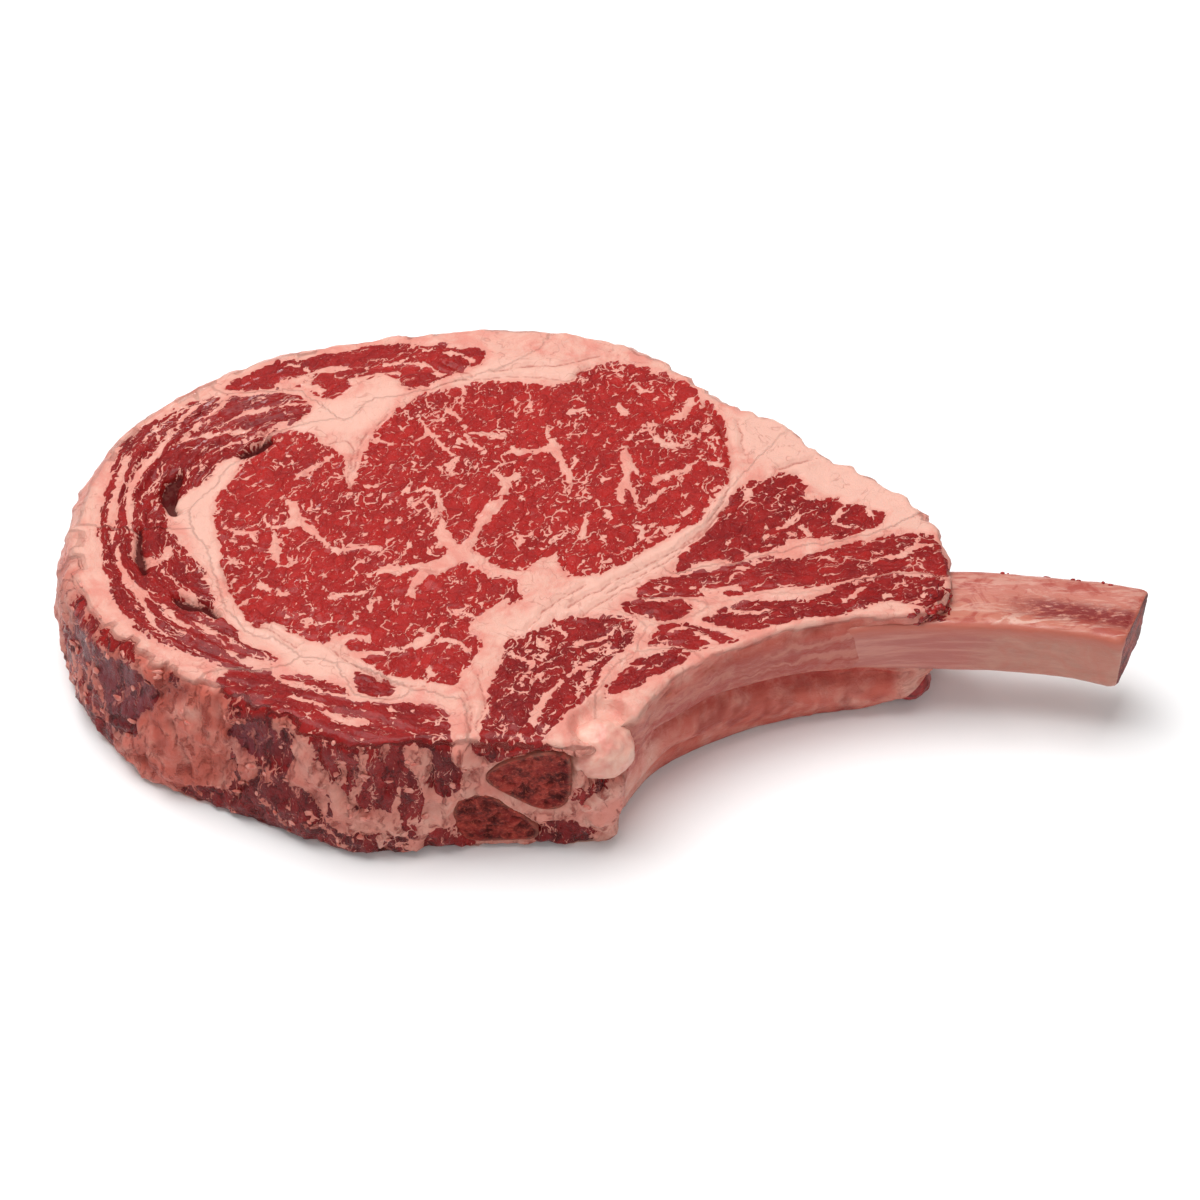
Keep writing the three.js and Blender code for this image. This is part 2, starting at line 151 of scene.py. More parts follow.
# Muscles on the cut face. Each has its tone (0 bright, 1 dark), how marbled it is, the way its
# grain runs in degrees, and its outline.
MUSCLES = {
    "eye": (0.22, 1.0, 58, [
        (-101.5, 33), (-95.5, 50.5), (-91.5, 57.5), (-84.5, 61.5), (-78.5, 61.5), (-75, 57.5),
        (-69.5, 54), (-67.5, 45), (-66.5, 40), (-65, 47), (-61, 61), (-57.5, 67), (-53, 72),
        (-48, 76.5), (-41.5, 79), (-33, 81.5), (-26, 82.5), (-19, 82), (-13, 81.5), (-8, 81.5),
        (-4.5, 87), (4.5, 90), (8.5, 89.5), (15, 87), (20, 84.5), (24.5, 81), (28, 76.5),
        (31.5, 71.5), (34, 65), (35, 56.5), (35, 49.5), (33, 41.5), (29.5, 35), (26, 28.5),
        (21.5, 25), (17.5, 22.5), (13, 18.5), (8.5, 15), (4.5, 11.5), (0, 8.5), (-4.5, 8),
        (-8.5, 8.5), (-11.5, 15), (-15, 13), (-19, 9.5), (-18.5, 3.5), (-19, 0), (-24.5, -2.5),
        (-28.5, -7), (-31.5, -10.5), (-29.5, -15.5), (-33, -21.5), (-35.5, -28.5), (-39, -28.5),
        (-48, -27), (-55.5, -24.5), (-62.5, -17.5), (-67, -15.5), (-74, -13), (-78.5, -10.5),
        (-82.5, -8), (-87, -9.5), (-89.5, -7), (-93, -1.5), (-95.5, 4.5), (-97.5, 11.5),
        (-99, 19), (-101, 26),
    ]),
    "cap_back": (0.4, 0.7, 32, [
        (-102.5, 78.5), (-102.5, 81), (-97.5, 85), (-90.5, 90.5), (-82.5, 93), (-71.5, 95),
        (-63.5, 97.5), (-52, 98.5), (-39, 96.5), (-31.5, 95), (-31.5, 90.5), (-36.5, 87),
        (-43.5, 82.5), (-48.5, 80), (-54, 79), (-55.5, 82.5), (-61, 85), (-69.5, 79), (-73, 75),
        (-78.5, 76.5), (-80, 80), (-87, 79), (-95.5, 78.5),
    ]),
    "cap_side": (0.56, 0.95, 0, [
        (-79, 69.5), (-81, 75), (-87, 77.5), (-97.5, 76.5), (-108.5, 75.5), (-117.5, 69.5),
        (-126, 62.5), (-129.5, 58.5), (-130.5, 43.5), (-132, 36.5), (-131.5, 26), (-129.5, 17.5),
        (-128, 7), (-125, 0), (-121, -7), (-115.5, -12), (-106, -17.5), (-97.5, -21.5),
        (-90.5, -23.5), (-83.5, -22.5), (-81, -20), (-84.5, -17.5), (-90.5, -15.5), (-92, -10.5),
        (-98.5, -5), (-98.5, -1), (-101.5, 7), (-105, 15.5), (-111.5, 22.5), (-114, 28.5),
        (-115, 36.5), (-110.5, 40), (-104.5, 43.5), (-101, 50.5), (-94, 53), (-89.5, 61),
        (-83.5, 64.5),
    ]),
    "cap_front": (0.52, 0.75, -14, [
        (-93, -24.5), (-82.5, -24.5), (-72, -26), (-65, -28.5), (-63.5, -32), (-58.5, -35),
        (-49.5, -34.5), (-43.5, -35), (-39, -37.5), (-36.5, -43.5), (-37.5, -50.5), (-52, -57.5),
        (-82.5, -50.5), (-97.5, -39),
    ]),
    "cap_island": (0.5, 0.3, -20, [
        (-61, -24.5), (-54, -27), (-49.5, -31.5), (-54, -33), (-59, -31.5), (-61.5, -28),
    ]),
    "side_muscle": (0.6, 0.9, 56, [
        (-23.5, -15), (-17.5, -11.5), (-13, -8), (-8, -5), (0, -6), (8, -7), (8.5, -10.5),
        (8, -15.5), (1.5, -21.5), (0, -26), (-2.5, -31.5), (-7, -36.5), (-10.5, -41.5),
        (-14, -47), (-15.5, -55.5), (-29.5, -55.5), (-28.5, -43.5), (-28, -35), (-26, -26),
        (-24.5, -19),
    ]),
    "lip_upper": (0.5, 0.75, 50, [
        (19, 10.5), (24.5, 21), (30.5, 28.5), (35, 38.5), (41.5, 43.5), (49.5, 46), (53, 46),
        (54, 41.5), (53, 38.5), (57.5, 36.5), (62.5, 38), (65, 34), (68.5, 35.5), (72, 33),
        (76.5, 31.5), (73, 27), (68, 24.5), (61, 21.5), (52, 21.5), (45, 17.5), (38.5, 15),
        (35, 13), (28.5, 14), (21.5, 10.5),
    ]),
    "lip_middle": (0.48, 0.75, 14, [
        (8.5, 2.5), (13, 7), (21.5, 9.5), (30.5, 10.5), (43.5, 14), (54, 15.5), (65, 20),
        (78.5, 23.5), (86, 23.5), (90.5, 17.5), (90.5, 8.5), (80, 10.5), (69.5, 8.5),
        (56.5, 4.5), (43.5, 3.5), (30.5, 1.5), (21.5, 1), (10.5, 1),
    ]),
    "lip_lower": (0.56, 0.7, 14, [
        (26, -7), (33, -2.5), (41.5, 0), (52, 0), (59, 3.5), (69.5, 7), (78.5, 8.5), (88, 7),
        (88.5, 0), (84.5, -3.5), (76.5, 0), (69.5, -1.5), (61, -5), (54, -6), (45, -8.5),
        (39, -10.5), (33, -9.5),
    ]),
    "lip_inner": (0.55, 0.5, 10, [
        (6, -2.5), (12, 0), (19, 0), (24.5, -1.5), (21.5, -5), (17.5, -8), (13, -7),
    ]),
    "rib_strip_right": (0.5, 0.7, 12, [
        (11.5, -16.5), (15.5, -9.5), (22.5, -8), (31.5, -11.5), (35, -14), (28.5, -15.5),
        (23.5, -17.5), (17.5, -15.5),
    ]),
    "rib_strip_left": (0.62, 0.5, 40, [
        (1, -33), (2.5, -28), (8.5, -21), (17.5, -17.5), (22.5, -17.5), (21.5, -21), (15.5, -25),
        (10.5, -28.5), (4.5, -32),
    ]),
}

# Seams and streaks of fat inside the muscles: x, y, half of the width.
VEINS = [
    [(-19, 3.5, 1.7), (-17.5, 7, 3.5), (-14, 11.5, 3.0), (-11.5, 15, 1.3)],
    [(-17.5, 8, 2.3), (-23.5, 8.5, 1.9), (-27, 9.5, 1.9), (-31.5, 13, 2.3), (-35.5, 15.5, 2.8)],
    [(-35.5, 15.5, 2.6), (-34, 21, 1.5), (-31, 27, 1.3), (-29, 32, 1.4), (-26, 36.5, 1.0),
     (-25.5, 41.5, 1.1), (-27, 45, 0.5)],
    [(-25.5, 42.5, 0.9), (-21.5, 45, 0.6), (-20, 47, 0.3)],
    [(-36.5, 15.5, 2.8), (-40, 20, 1.7), (-41.5, 27, 1.4), (-42, 33, 1.0), (-43, 38, 0.6),
     (-46, 40, 0.4), (-49.5, 37.5, 0.5), (-52, 33, 0.3)],
    [(-36.5, 15, 3.0), (-42.5, 11, 2.3), (-46.5, 7.5, 1.4), (-48.5, 1, 0.7)],
    [(-43.5, 10.5, 1.6), (-48.5, 11.5, 0.8), (-52, 10, 0.9), (-55.5, 10.5, 0.7), (-60, 8.5, 0.5)],
    [(-71.5, 18, 0.9), (-67, 17.5, 1.3), (-62.5, 18, 1.0), (-57, 18.5, 0.9), (-54, 22, 0.4)],
    [(-67, 17.5, 1.4), (-70.5, 18.5, 1.2), (-74.5, 23.5, 0.9), (-78.5, 27.5, 1.3),
     (-80.5, 30.5, 1.1), (-81, 34, 0.8), (-83.5, 36.5, 0.5)],
    [(-80, 28, 1.3), (-84.5, 26, 0.8), (-87.5, 27.5, 0.6), (-88.5, 31.5, 0.4)],
    [(-85, 26, 0.7), (-85, 21.5, 0.8), (-84, 15.5, 1.1), (-82, 9, 0.7)],
    [(-98.5, 26, 0.4), (-94.5, 24.5, 0.9), (-91.5, 24, 1.0), (-88.5, 25, 0.6)],
    [(-92, 24.5, 0.8), (-90, 21, 0.4)],
    [(-81.5, 43.5, 0.4), (-78.5, 46.5, 1.0), (-75, 49.5, 0.7), (-72, 52, 0.4)],
    [(-68.5, 1, 0.6), (-63.5, 2, 0.5), (-58, 2.5, 0.6)],
    [(-92, 3.5, 0.5), (-88, 5.5, 0.9), (-84.5, 3, 0.7), (-78.5, 1, 0.4)],
    [(-68.5, -15.5, 1.9), (-66.5, -14.5, 1.4), (-62.5, -13, 1.1), (-59, -13.5, 1.0)],
    [(-68, -15.5, 1.4), (-61, -18.5, 1.1), (-55, -18, 0.9), (-49.5, -16, 0.9),
     (-44.5, -14.5, 0.9), (-41, -10.5, 0.7), (-39, -8, 0.4)],
    [(-31.5, -10.5, 2.6), (-29, -6, 2.1), (-25, -2.5, 1.0), (-22.5, 1.5, 0.4)],
    [(-38.5, -3.5, 0.3), (-32, -5.5, 0.9), (-28.5, -7, 1.2)],
    [(-33, -18.5, 0.7), (-37.5, -14, 0.4), (-43.5, -15, 0.3)],
    [(-42, 70.5, 0.5), (-38.5, 67.5, 0.7), (-36.5, 63.5, 0.6), (-35.5, 58.5, 0.5),
     (-33, 56, 0.8), (-31.5, 54, 0.4)],
    [(-35.5, 61.5, 0.6), (-30.5, 61, 0.7), (-27, 60, 0.5)],
    [(-48.5, 68, 0.4), (-47, 63.5, 0.7), (-44.5, 59.5, 0.6), (-41.5, 55, 0.5), (-38.5, 51, 0.4)],
    [(-59, 58, 0.8), (-55.5, 57, 0.4), (-50.5, 57.5, 0.3), (-47, 61, 0.3)],
    [(-16, 65, 0.3), (-13.5, 60, 0.8), (-11.5, 55, 1.1), (-10, 49.5, 1.0), (-8, 45, 1.1),
     (-8, 40, 0.8), (-8.5, 37.5, 0.3)],
    [(-25, 58, 0.4), (-22.5, 54, 1.0), (-18, 54.5, 1.0), (-12.5, 55, 1.0)],
    [(-23, 55, 0.6), (-27, 52, 0.3)],
    [(8.5, 61.5, 0.3), (7, 55.5, 1.0), (7, 51.5, 1.5), (8, 48, 1.2), (7, 43, 0.7)],
    [(8, 48.5, 1.0), (10.5, 46.5, 0.7)], [(6.5, 43.5, 0.6), (5, 38.5, 0.7), (5.5, 36, 0.8)],
    [(7, 41.5, 0.7), (9.5, 36.5, 0.5), (10.5, 33, 0.3)],
    [(-3.5, 29.5, 0.4), (-4.5, 23.5, 0.9), (-5, 17.5, 0.5)],
    [(4, 78.5, 0.4), (5, 74, 0.8), (6.5, 69.5, 0.8)], [(-21, 22.5, 0.4), (-21, 19, 0.6)],
    [(-12.5, 21.5, 0.4), (-15, 18, 0.4)],
    [(15, 59.5, 0.9), (17.5, 57, 1.3), (20.5, 57.5, 0.8), (24.5, 59, 0.6), (28, 62.5, 0.4)],
    [(17.5, 56.5, 0.7), (18.5, 53, 0.4)],
    [(15, 44, 0.9), (19, 45.5, 1.0), (24, 48.5, 1.0), (28, 50.5, 0.8), (33, 49.5, 0.5)],
    [(25, 78, 0.4), (24.5, 73, 0.8), (22, 68.5, 0.9), (17.5, 67.5, 0.4)],
    [(27.5, 76.5, 0.3), (30, 68, 0.4), (28.5, 62.5, 0.5), (26, 59, 0.4)],
    [(28.5, 59, 0.4), (31, 55, 0.5), (29, 50, 0.4)],
    [(8, 27.5, 0.5), (10.5, 24.5, 1.0), (12.5, 22, 1.0), (17, 24, 0.5), (20, 27, 0.3)],
    [(17.5, 25, 0.3), (21, 30.5, 0.3), (23.5, 33.5, 0.4)],
    [(13.5, 35.5, 0.3), (17, 40.5, 0.6), (21, 41.5, 0.4)], [(-37.5, 78.5, 0.6), (-38, 73, 0.4)],
    [(-23.5, 75, 0.5), (-22, 70.5, 0.5), (-24.5, 67, 0.3)], [(-19.5, 74, 0.4), (-18, 68, 0.3)],
    [(-8.5, 70.5, 0.8), (-4.5, 71, 0.6)], [(-8.5, 61, 0.6), (-4.5, 63, 0.5)],
    [(9.5, 81.5, 0.3), (13, 76.5, 0.4), (15.5, 75, 0.3)], [(19, 75, 0.3), (21, 78.5, 0.4)],
    [(11.5, 65, 0.3), (14, 62, 0.5)], [(-57.5, 33, 0.3), (-53, 37.5, 0.5), (-50, 41.5, 0.3)],
    [(-53, 27, 0.4), (-49.5, 33, 0.6), (-45, 39, 0.4)],
    [(1.5, 32, 0.4), (2.5, 29.5, 0.8), (3, 28, 0.3)], [(-41, -26, 0.5), (-45, -21.5, 0.3)],
    [(-90.5, -21.5, 0.7), (-84.5, -21.5, 0.9), (-80, -26, 0.7), (-74, -28.5, 0.6),
     (-68, -31.5, 0.7), (-61, -33.5, 0.9)],
    [(-76.5, -33, 0.6), (-69.5, -35.5, 0.7), (-64.5, -40, 0.7), (-57.5, -41, 0.6)],
    [(-52, -35.5, 0.5), (-50.5, -41.5, 0.4)],
    [(-22.5, -18.5, 0.4), (-17.5, -22.5, 0.4), (-19, -27, 0.5), (-23.5, -31.5, 0.4)],
    [(-18.5, -12, 0.3), (-14, -16.5, 0.4), (-15, -21, 0.4)],
    [(-11.5, -8, 0.4), (-8.5, -12, 0.4), (-10.5, -17.5, 0.3)],
    [(7, -8.5, 0.3), (1, -13, 0.4), (-6, -15, 0.5)],
    [(3.5, -17.5, 0.4), (-2.5, -21.5, 0.6), (-7, -25, 0.5), (-13, -33, 0.5), (-16.5, -41.5, 0.4)],
    [(-2.5, -24.5, 0.5), (-4.5, -30.5, 0.4), (-8.5, -35.5, 0.4)],
    [(-21, -35, 0.4), (-17.5, -28.5, 0.4), (-13, -25, 0.3)], [(-24.5, -39, 0.3), (-21, -45, 0.4)],
    [(-10.5, -38.5, 0.4), (-14, -45, 0.4)],
    [(38.5, 41.5, 0.3), (39.5, 37.5, 0.5), (36.5, 33, 0.4)],
    [(45, 34, 0.7), (50.5, 33, 0.6), (52, 28.5, 0.4)], [(53, 26, 0.9), (55, 21.5, 0.7)],
    [(42.5, 21.5, 0.3), (48, 26, 0.4), (52, 30.5, 0.4)],
    [(64.5, 33, 0.5), (61.5, 28.5, 0.4), (65, 26, 0.4)], [(70.5, 34, 0.4), (72, 29.5, 0.6)],
    [(24.5, 11.5, 0.3), (36.5, 11, 0.4), (45, 15, 0.6), (52, 17.5, 0.8), (59, 18.5, 0.4)],
    [(52, 17.5, 0.4), (61, 13, 0.3)], [(76.5, 15, 0.4), (82.5, 18.5, 0.8), (88, 19, 0.5)],
    [(68, 12, 0.5), (76.5, 15.5, 0.6), (83.5, 11.5, 0.5)],
    [(21, 4.5, 0.3), (29.5, 3.5, 0.4), (38.5, 5, 0.3)],
    [(57.5, 3.5, 0.6), (62.5, 6, 0.5), (69.5, 8, 0.3)],
    [(33, -3.5, 0.4), (38.5, -4.5, 0.3), (43.5, -3.5, 0.4)], [(38.5, -8.5, 0.5), (45, -5, 0.3)],
    [(62.5, 0, 0.5), (68, 4.5, 0.4)], [(73, 1.5, 0.6), (78.5, 5, 0.4)],
    [(80, -1.5, 0.6), (83.5, 2.5, 0.4)],
    [(17.5, -11.5, 0.7), (21, -9.5, 0.5), (26, -12, 0.8), (29.5, -15, 0.5)],
    [(7, -22.5, 0.3), (12, -23.5, 0.4), (16.5, -21, 0.3)], [(19, -18.5, 0.4), (22.5, -20, 0.5)],
    [(-87, 80, 1.6), (-81.5, 83.5, 1.4), (-78.5, 86, 0.9), (-73, 88, 0.6), (-61, 88, 0.5),
     (-54, 91.5, 0.4), (-48.5, 93, 0.3)],
    [(-81, 80, 1.7), (-76.5, 78.5, 1.2)],
    [(-68, 81.5, 1.6), (-62.5, 84.5, 1.4), (-55.5, 85, 1.0)],
    [(-65, 85, 0.5), (-57.5, 89.5, 0.4), (-48, 88, 0.7), (-43.5, 84.5, 0.7)],
    [(-87, 89.5, 0.3), (-80, 87, 0.4)], [(-52, 95.5, 0.3), (-41.5, 94, 0.5), (-35, 90.5, 0.4)],
    [(-121.5, 66, 0.5), (-118.5, 55.5, 0.6), (-122.5, 48, 0.8), (-124.5, 38.5, 0.9),
     (-123.5, 29.5, 0.8), (-121, 17.5, 0.8)],
    [(-109.5, 75, 0.5), (-115.5, 63.5, 0.5), (-119, 55.5, 0.4)],
    [(-102.5, 75.5, 0.7), (-108.5, 66, 0.5), (-113, 59, 0.4)],
    [(-80, 73, 0.7), (-87, 71.5, 0.8), (-95.5, 69.5, 0.6), (-104.5, 64.5, 0.5)],
    [(-85, 65, 0.5), (-95.5, 59, 0.5), (-104.5, 54, 0.4), (-109.5, 48.5, 0.4)],
    [(-111.5, 60, 0.7), (-102.5, 61.5, 0.6), (-94, 62.5, 0.5)],
    [(-127, 52, 0.5), (-128, 40, 0.7), (-128, 28, 0.7), (-125, 15.5, 0.7), (-121.5, 5, 0.9)],
    [(-121, 17.5, 0.9), (-115.5, 14, 1.2), (-112, 17.5, 0.9)],
    [(-121.5, 7, 1.1), (-118.5, 3.5, 1.3), (-116.5, -2.5, 1.0)],
    [(-118.5, 4.5, 0.9), (-113, 0, 0.7), (-109.5, -5, 0.6), (-104.5, -9.5, 0.6)],
    [(-116.5, -2.5, 0.8), (-111.5, -10.5, 0.5), (-102.5, -15.5, 0.5)],
    [(-114, 12, 0.4), (-106, 2.5, 0.5), (-99, -4.5, 0.3)],
    [(-102.5, -8, 0.6), (-97.5, -12, 0.7), (-92, -18.5, 0.6)],
    [(-128, 8.5, 0.6), (-124.5, -1.5, 0.7), (-119, -8.5, 0.6)],
]

# Hard creamy fat, as lines of x, y and reach.
HARD_FAT = [
    [(-80, 63.5, 2.6), (-75, 68.5, 4.3), (-68.5, 67, 6.1), (-62.5, 73, 4.3), (-57.5, 77.5, 2.2)],
    [(-98.5, 49.5, 1.7), (-103.5, 41.5, 4.3), (-108.5, 35.5, 4.3), (-105, 28, 3.5),
     (-101.5, 19, 2.6), (-97.5, 10.5, 2.2)],
    [(-90.5, -8, 2.2), (-81.5, -12, 3.5), (-73, -19, 4.3), (-62.5, -23.5, 3.0),
     (-50.5, -30.5, 2.6)],
    [(-22.5, -12, 2.6), (-10.5, -3.5, 4.3), (0, 3.5, 5.2), (12, 12, 3.9), (22.5, 21.5, 3.0),
     (31.5, 33, 2.2), (35.5, 45, 1.7)],
    [(-38.5, 81, 1.7), (-29.5, 86, 3.5), (-17.5, 88, 4.3), (-7, 85, 1.7)],
    [(43.5, 61, 7.8), (57.5, 52, 7.8), (73, 36.5, 6.1), (83.5, 28.5, 4.3)],
]

# Folds and splits in the cut face, as lines of x and y.
FOLDS = [
    [(-66, 39), (-67, 45), (-65, 50.5), (-64.5, 56.5), (-61, 63.5), (-57.5, 68.5)],
    [(-73, 57.5), (-68.5, 58), (-66, 54), (-67, 48)],
    [(-48.5, 78.5), (-41.5, 81.5), (-35, 83), (-26, 84), (-17.5, 84.5), (-8.5, 83), (-6, 86),
     (-2.5, 88.5)],
    [(48, 48), (53, 50.5), (58.5, 53)],
    [(-8.5, -2.5), (4.5, 7), (13, 13), (24.5, 22.5), (32, 35), (35, 48), (33.5, 61), (28.5, 74)],
    [(1.5, 2.5), (10.5, 8.5), (19, 15.5), (27, 24.5), (34, 35)],
    [(-4.5, -5), (2.5, 1), (10.5, 6)], [(-19, -10.5), (-12, -1.5), (-3.5, 5)],
    [(-87, -8.5), (-81, -12), (-76.5, -15.5)],
    [(-68, -16.5), (-61, -22.5), (-52, -28), (-43.5, -29.5)],
    [(-35, -29.5), (-32, -36.5), (-32, -45)], [(-30.5, -26), (-28.5, -35), (-30.5, -43.5)],
    [(-97.5, 12), (-94, 4.5), (-89.5, -4.5)], [(37.5, 66), (38.5, 59), (38.5, 54)],
    [(-29.5, 86), (-21, 88.5), (-10.5, 89.5), (0, 93)], [(-89.5, 62.5), (-94, 55)],
    [(-43.5, 89.5), (-35, 84.5)],
]

# Clean lobes of fat on the front: along, height, half width, half height.
PALE_LOBES = [(54, 12, 13, 12), (74, 20, 8, 9), (104, 27, 5, 12), (134, 22, 5, 16),
              (160, 20, 26, 24), (4, 22, 9, 24)]

# Open gaps between layers of muscle, as lines of x, y and half width.
GAPS = [
    [(-112.5, 46, 0.3), (-114.5, 41, 1.4), (-114, 36, 1.0), (-112, 32, 0.3)],
    [(-96, 53, 0.2), (-92, 56, 0.9), (-89, 59, 0.3)],
    [(-109, 2, 0.3), (-105, -1.5, 1.2), (-101, -2.5, 0.9), (-97.5, -5.5, 0.3)],
    [(-121, 26, 0.1), (-120, 18, 0.6), (-117.5, 11, 0.3)],
]

# How far the bundles of some muscles are drawn out: less is longer.
BUNDLE_LENGTH = {"cap_side": 0.34, "cap_back": 0.6, "cap_front": 0.5, "lip_upper": 0.8,
                 "lip_middle": 0.5, "lip_lower": 0.6, "rib_strip_left": 0.6,
                 "rib_strip_right": 0.6}

# The line that the front is measured along, from the left end round to the rib's neck.
FRONT = [
    (-138.5, 26), (-134, 7.5), (-125, -8), (-113, -19), (-98.5, -28.5), (-83, -36), (-68, -43.5),
    (-52, -48), (-35, -48), (-18, -48), (0, -48), (10.5, -37.5), (21.5, -24.5), (36, -15),
    (52, -8.5), (68.5, -5), (83.5, -4.5),
]

# Muscle on the front side: tone, how marbled, and outline as (along the front, height).
FRONT_MUSCLES = {
    "upper_left": (0.4, 0.9, [
        (21, 47), (23.5, 35), (27, 31.5), (31.5, 34), (36.5, 35.5), (43.5, 37.5), (48, 35.5),
        (49.5, 47),
    ]),
    "lower_left": (0.6, 0.95, [
        (16.5, 19), (19, 25), (26, 27), (33, 26), (36.5, 21), (40, 17.5), (42.5, 10.5),
        (41.5, 1.5), (35, -5), (24.5, -5), (21, 5), (17.5, 12),
    ]),
    "skinned": (0.8, 0.6, [
        (23.5, 28), (29.5, 34), (40, 35), (48.5, 35.5), (55.5, 34), (57.5, 28), (53, 21.5),
        (49.5, 17.5), (45, 15), (40, 18.5), (36.5, 25), (29.5, 25),
    ]),
    "tear": (0.8, 0.7, [
        (42.5, 17.5), (48.5, 18.5), (52, 16.5), (48.5, 13), (45, 10.5), (43.5, 12),
    ]),
    "foot": (0.85, 0.8, [
        (65, 2.5), (68.5, 8), (76.5, 8.5), (79, 5), (82.5, 1.5), (88, -5), (66, -5),
    ]),
    "lip_left": (0.42, 0.85, [
        (75, 47), (76.5, 39), (80, 36.5), (85, 37.5), (90.5, 38.5), (94, 40), (97.5, 38.5),
        (101, 40), (102.5, 47),
    ]),
    "purple": (0.85, 0.8, [
        (78.5, 27), (81, 33), (87, 35.5), (94, 33), (91.5, 28), (87, 24.5), (81.5, 23.5),
    ]),
    "low_muscle": (0.85, 0.85, [
        (79, 7), (83.5, 14), (86, 19), (92, 18.5), (99, 20), (104.5, 17.5), (108, 12),
        (113, 8.5), (116.5, 11.5), (122.5, 8), (124.5, 3.5), (121.5, -5), (83.5, -5),
    ]),
    "front_muscle": (0.62, 0.85, [
        (102.5, 47), (103.5, 35), (106, 28.5), (110.5, 21.5), (114, 16.5), (121, 17.5),
        (128, 15), (130.5, 22.5), (128.5, 31.5), (128, 40), (127, 47),
    ]),
    "front_patch": (0.8, 0.7, [
        (130.5, 47), (131.5, 33), (130.5, 24.5), (135, 22.5), (139, 27), (137.5, 35),
        (138.5, 47),
    ]),
    "beside_bone": (0.5, 0.9, [
        (130.5, 8.5), (135.5, 10.5), (140, 8.5), (142.5, 1.5), (139, -5), (130.5, -5),
        (128, 1.5),
    ]),
    "side_edge": (0.42, 0.9, [
        (141.5, 47), (142.5, 38.5), (147, 34), (155, 36.5), (165, 37.5), (168, 47),
    ]),
    "under_bone": (0.77, 0.85, [
        (156.5, 1), (160, 10.5), (166, 11.5), (171.5, 8.5), (172, 1.5), (168.5, -5), (160, -5),
    ]),
    "corner": (0.52, 0.85, [
        (173, 30.5), (177.5, 28.5), (175, 24.5), (169.5, 18.5), (167, 21), (170.5, 26),
    ]),
    "end_tag": (0.77, 0.85, [
        (268, 9.5), (272, 11.5), (276.5, 7), (276.5, -5), (268.5, -5),
    ]),
}

# Fat streaks on the front side: along the front, height, half of the width.
FRONT_VEINS = [
    [(115, 40, 0.4), (115.5, 31.5, 0.5), (114, 24.5, 0.6), (111.5, 17.5, 0.7)],
    [(122.5, 45, 0.4), (121.5, 35, 0.6), (123.5, 26, 0.5), (121.5, 15.5, 0.8)],
    [(128.5, 45, 0.9), (127.5, 35, 0.9), (129.5, 26, 0.9), (130.5, 15.5, 1.2)],
    [(108, 36.5, 0.3), (110.5, 29.5, 0.5), (108.5, 22.5, 0.4)],
    [(90.5, 27, 0.5), (85, 21, 0.8), (81, 15.5, 0.7), (77.5, 9.5, 0.7)],
    [(93, 38.5, 1.2), (97.5, 28.5, 1.7), (104.5, 20, 2.3), (110.5, 11.5, 2.1), (115, 12, 2.3)],
    [(74, 35, 1.2), (77.5, 27, 1.6), (84.5, 22.5, 1.1), (88.5, 21, 0.5)],
    [(102.5, 11.5, 0.9), (108, 7, 0.6), (110.5, 3.5, 0.4)], [(90.5, 11.5, 0.7), (94, 6, 0.6)],
    [(52, 33, 0.3), (48, 26, 0.4), (43.5, 20, 0.4)], [(87, 35, 0.3), (83.5, 29.5, 0.3)],
    [(26, 24.5, 0.4), (24.5, 14, 0.4), (22.5, 5, 0.3)],
    [(33, 35, 0.6), (35, 26, 0.7), (31.5, 14, 0.6), (32, 5, 0.4)],
    [(28.5, 22.5, 0.4), (28, 10.5, 0.4)], [(38.5, 43.5, 0.5), (36.5, 36.5, 0.5)],
    [(31.5, 45, 0.4), (29.5, 36.5, 0.5)], [(99, 17.5, 0.4), (95.5, 10.5, 0.4), (97.5, 3.5, 0.3)],
    [(118.5, 8.5, 1.0), (120, 2.5, 0.7)],
]

# Folds and tears on the front side: along the front, height.
FRONT_FOLDS = [
    [(71.5, 9.5), (72, 15.5), (73, 21.5)], [(43.5, 15.5), (49.5, 18.5), (53, 16.5)],
    [(55, 24.5), (55.5, 19), (54, 8.5)], [(62.5, 24.5), (66, 17.5), (67, 8.5)],
    [(79, 26), (77.5, 21), (75, 15.5), (76.5, 10.5)], [(85, 22.5), (80, 19), (76.5, 15.5)],
    [(43.5, 7), (48.5, 8.5), (54, 8)], [(104.5, 35), (106, 28.5), (110.5, 21.5), (114, 16.5)],
    [(130.5, 43.5), (131.5, 33), (130.5, 22.5)], [(141.5, 40), (144.5, 33), (142.5, 24.5)],
    [(174, 38.5), (172, 31.5), (168, 23.5)], [(168, 21), (170.5, 12), (174, 3.5)],
    [(139, 22.5), (146, 20), (153, 13), (158.5, 7)], [(88.5, 21), (83.5, 13), (80, 7)],
    [(111.5, 15.5), (116.5, 7), (119, 1.5)], [(57.5, 40), (59, 35), (57.5, 29.5)],
    [(69.5, 43.5), (69.5, 35), (73, 26)], [(17.5, 35), (21, 26), (19, 17.5)],
    [(182.5, 27), (187, 25), (201.5, 22.5), (217.5, 21), (243.5, 17.5), (261, 15), (271.5, 12)],
    [(179, 41.5), (182.5, 38.5), (195, 36.5), (217.5, 35.5)],
    [(188, 8.5), (195, 8), (201.5, 10.5), (213, 8)],
]


# ------------------------------------------------------------------ small helpers
def linear(hex_colour):
    """An sRGB hex value as linear red, green, blue and one."""
    parts = [int(hex_colour[k:k + 2], 16) / 255 for k in (1, 3, 5)]
    return tuple(c / 12.92 if c <= 0.04045 else ((c + 0.055) / 1.055) ** 2.4
                 for c in parts) + (1.0,)


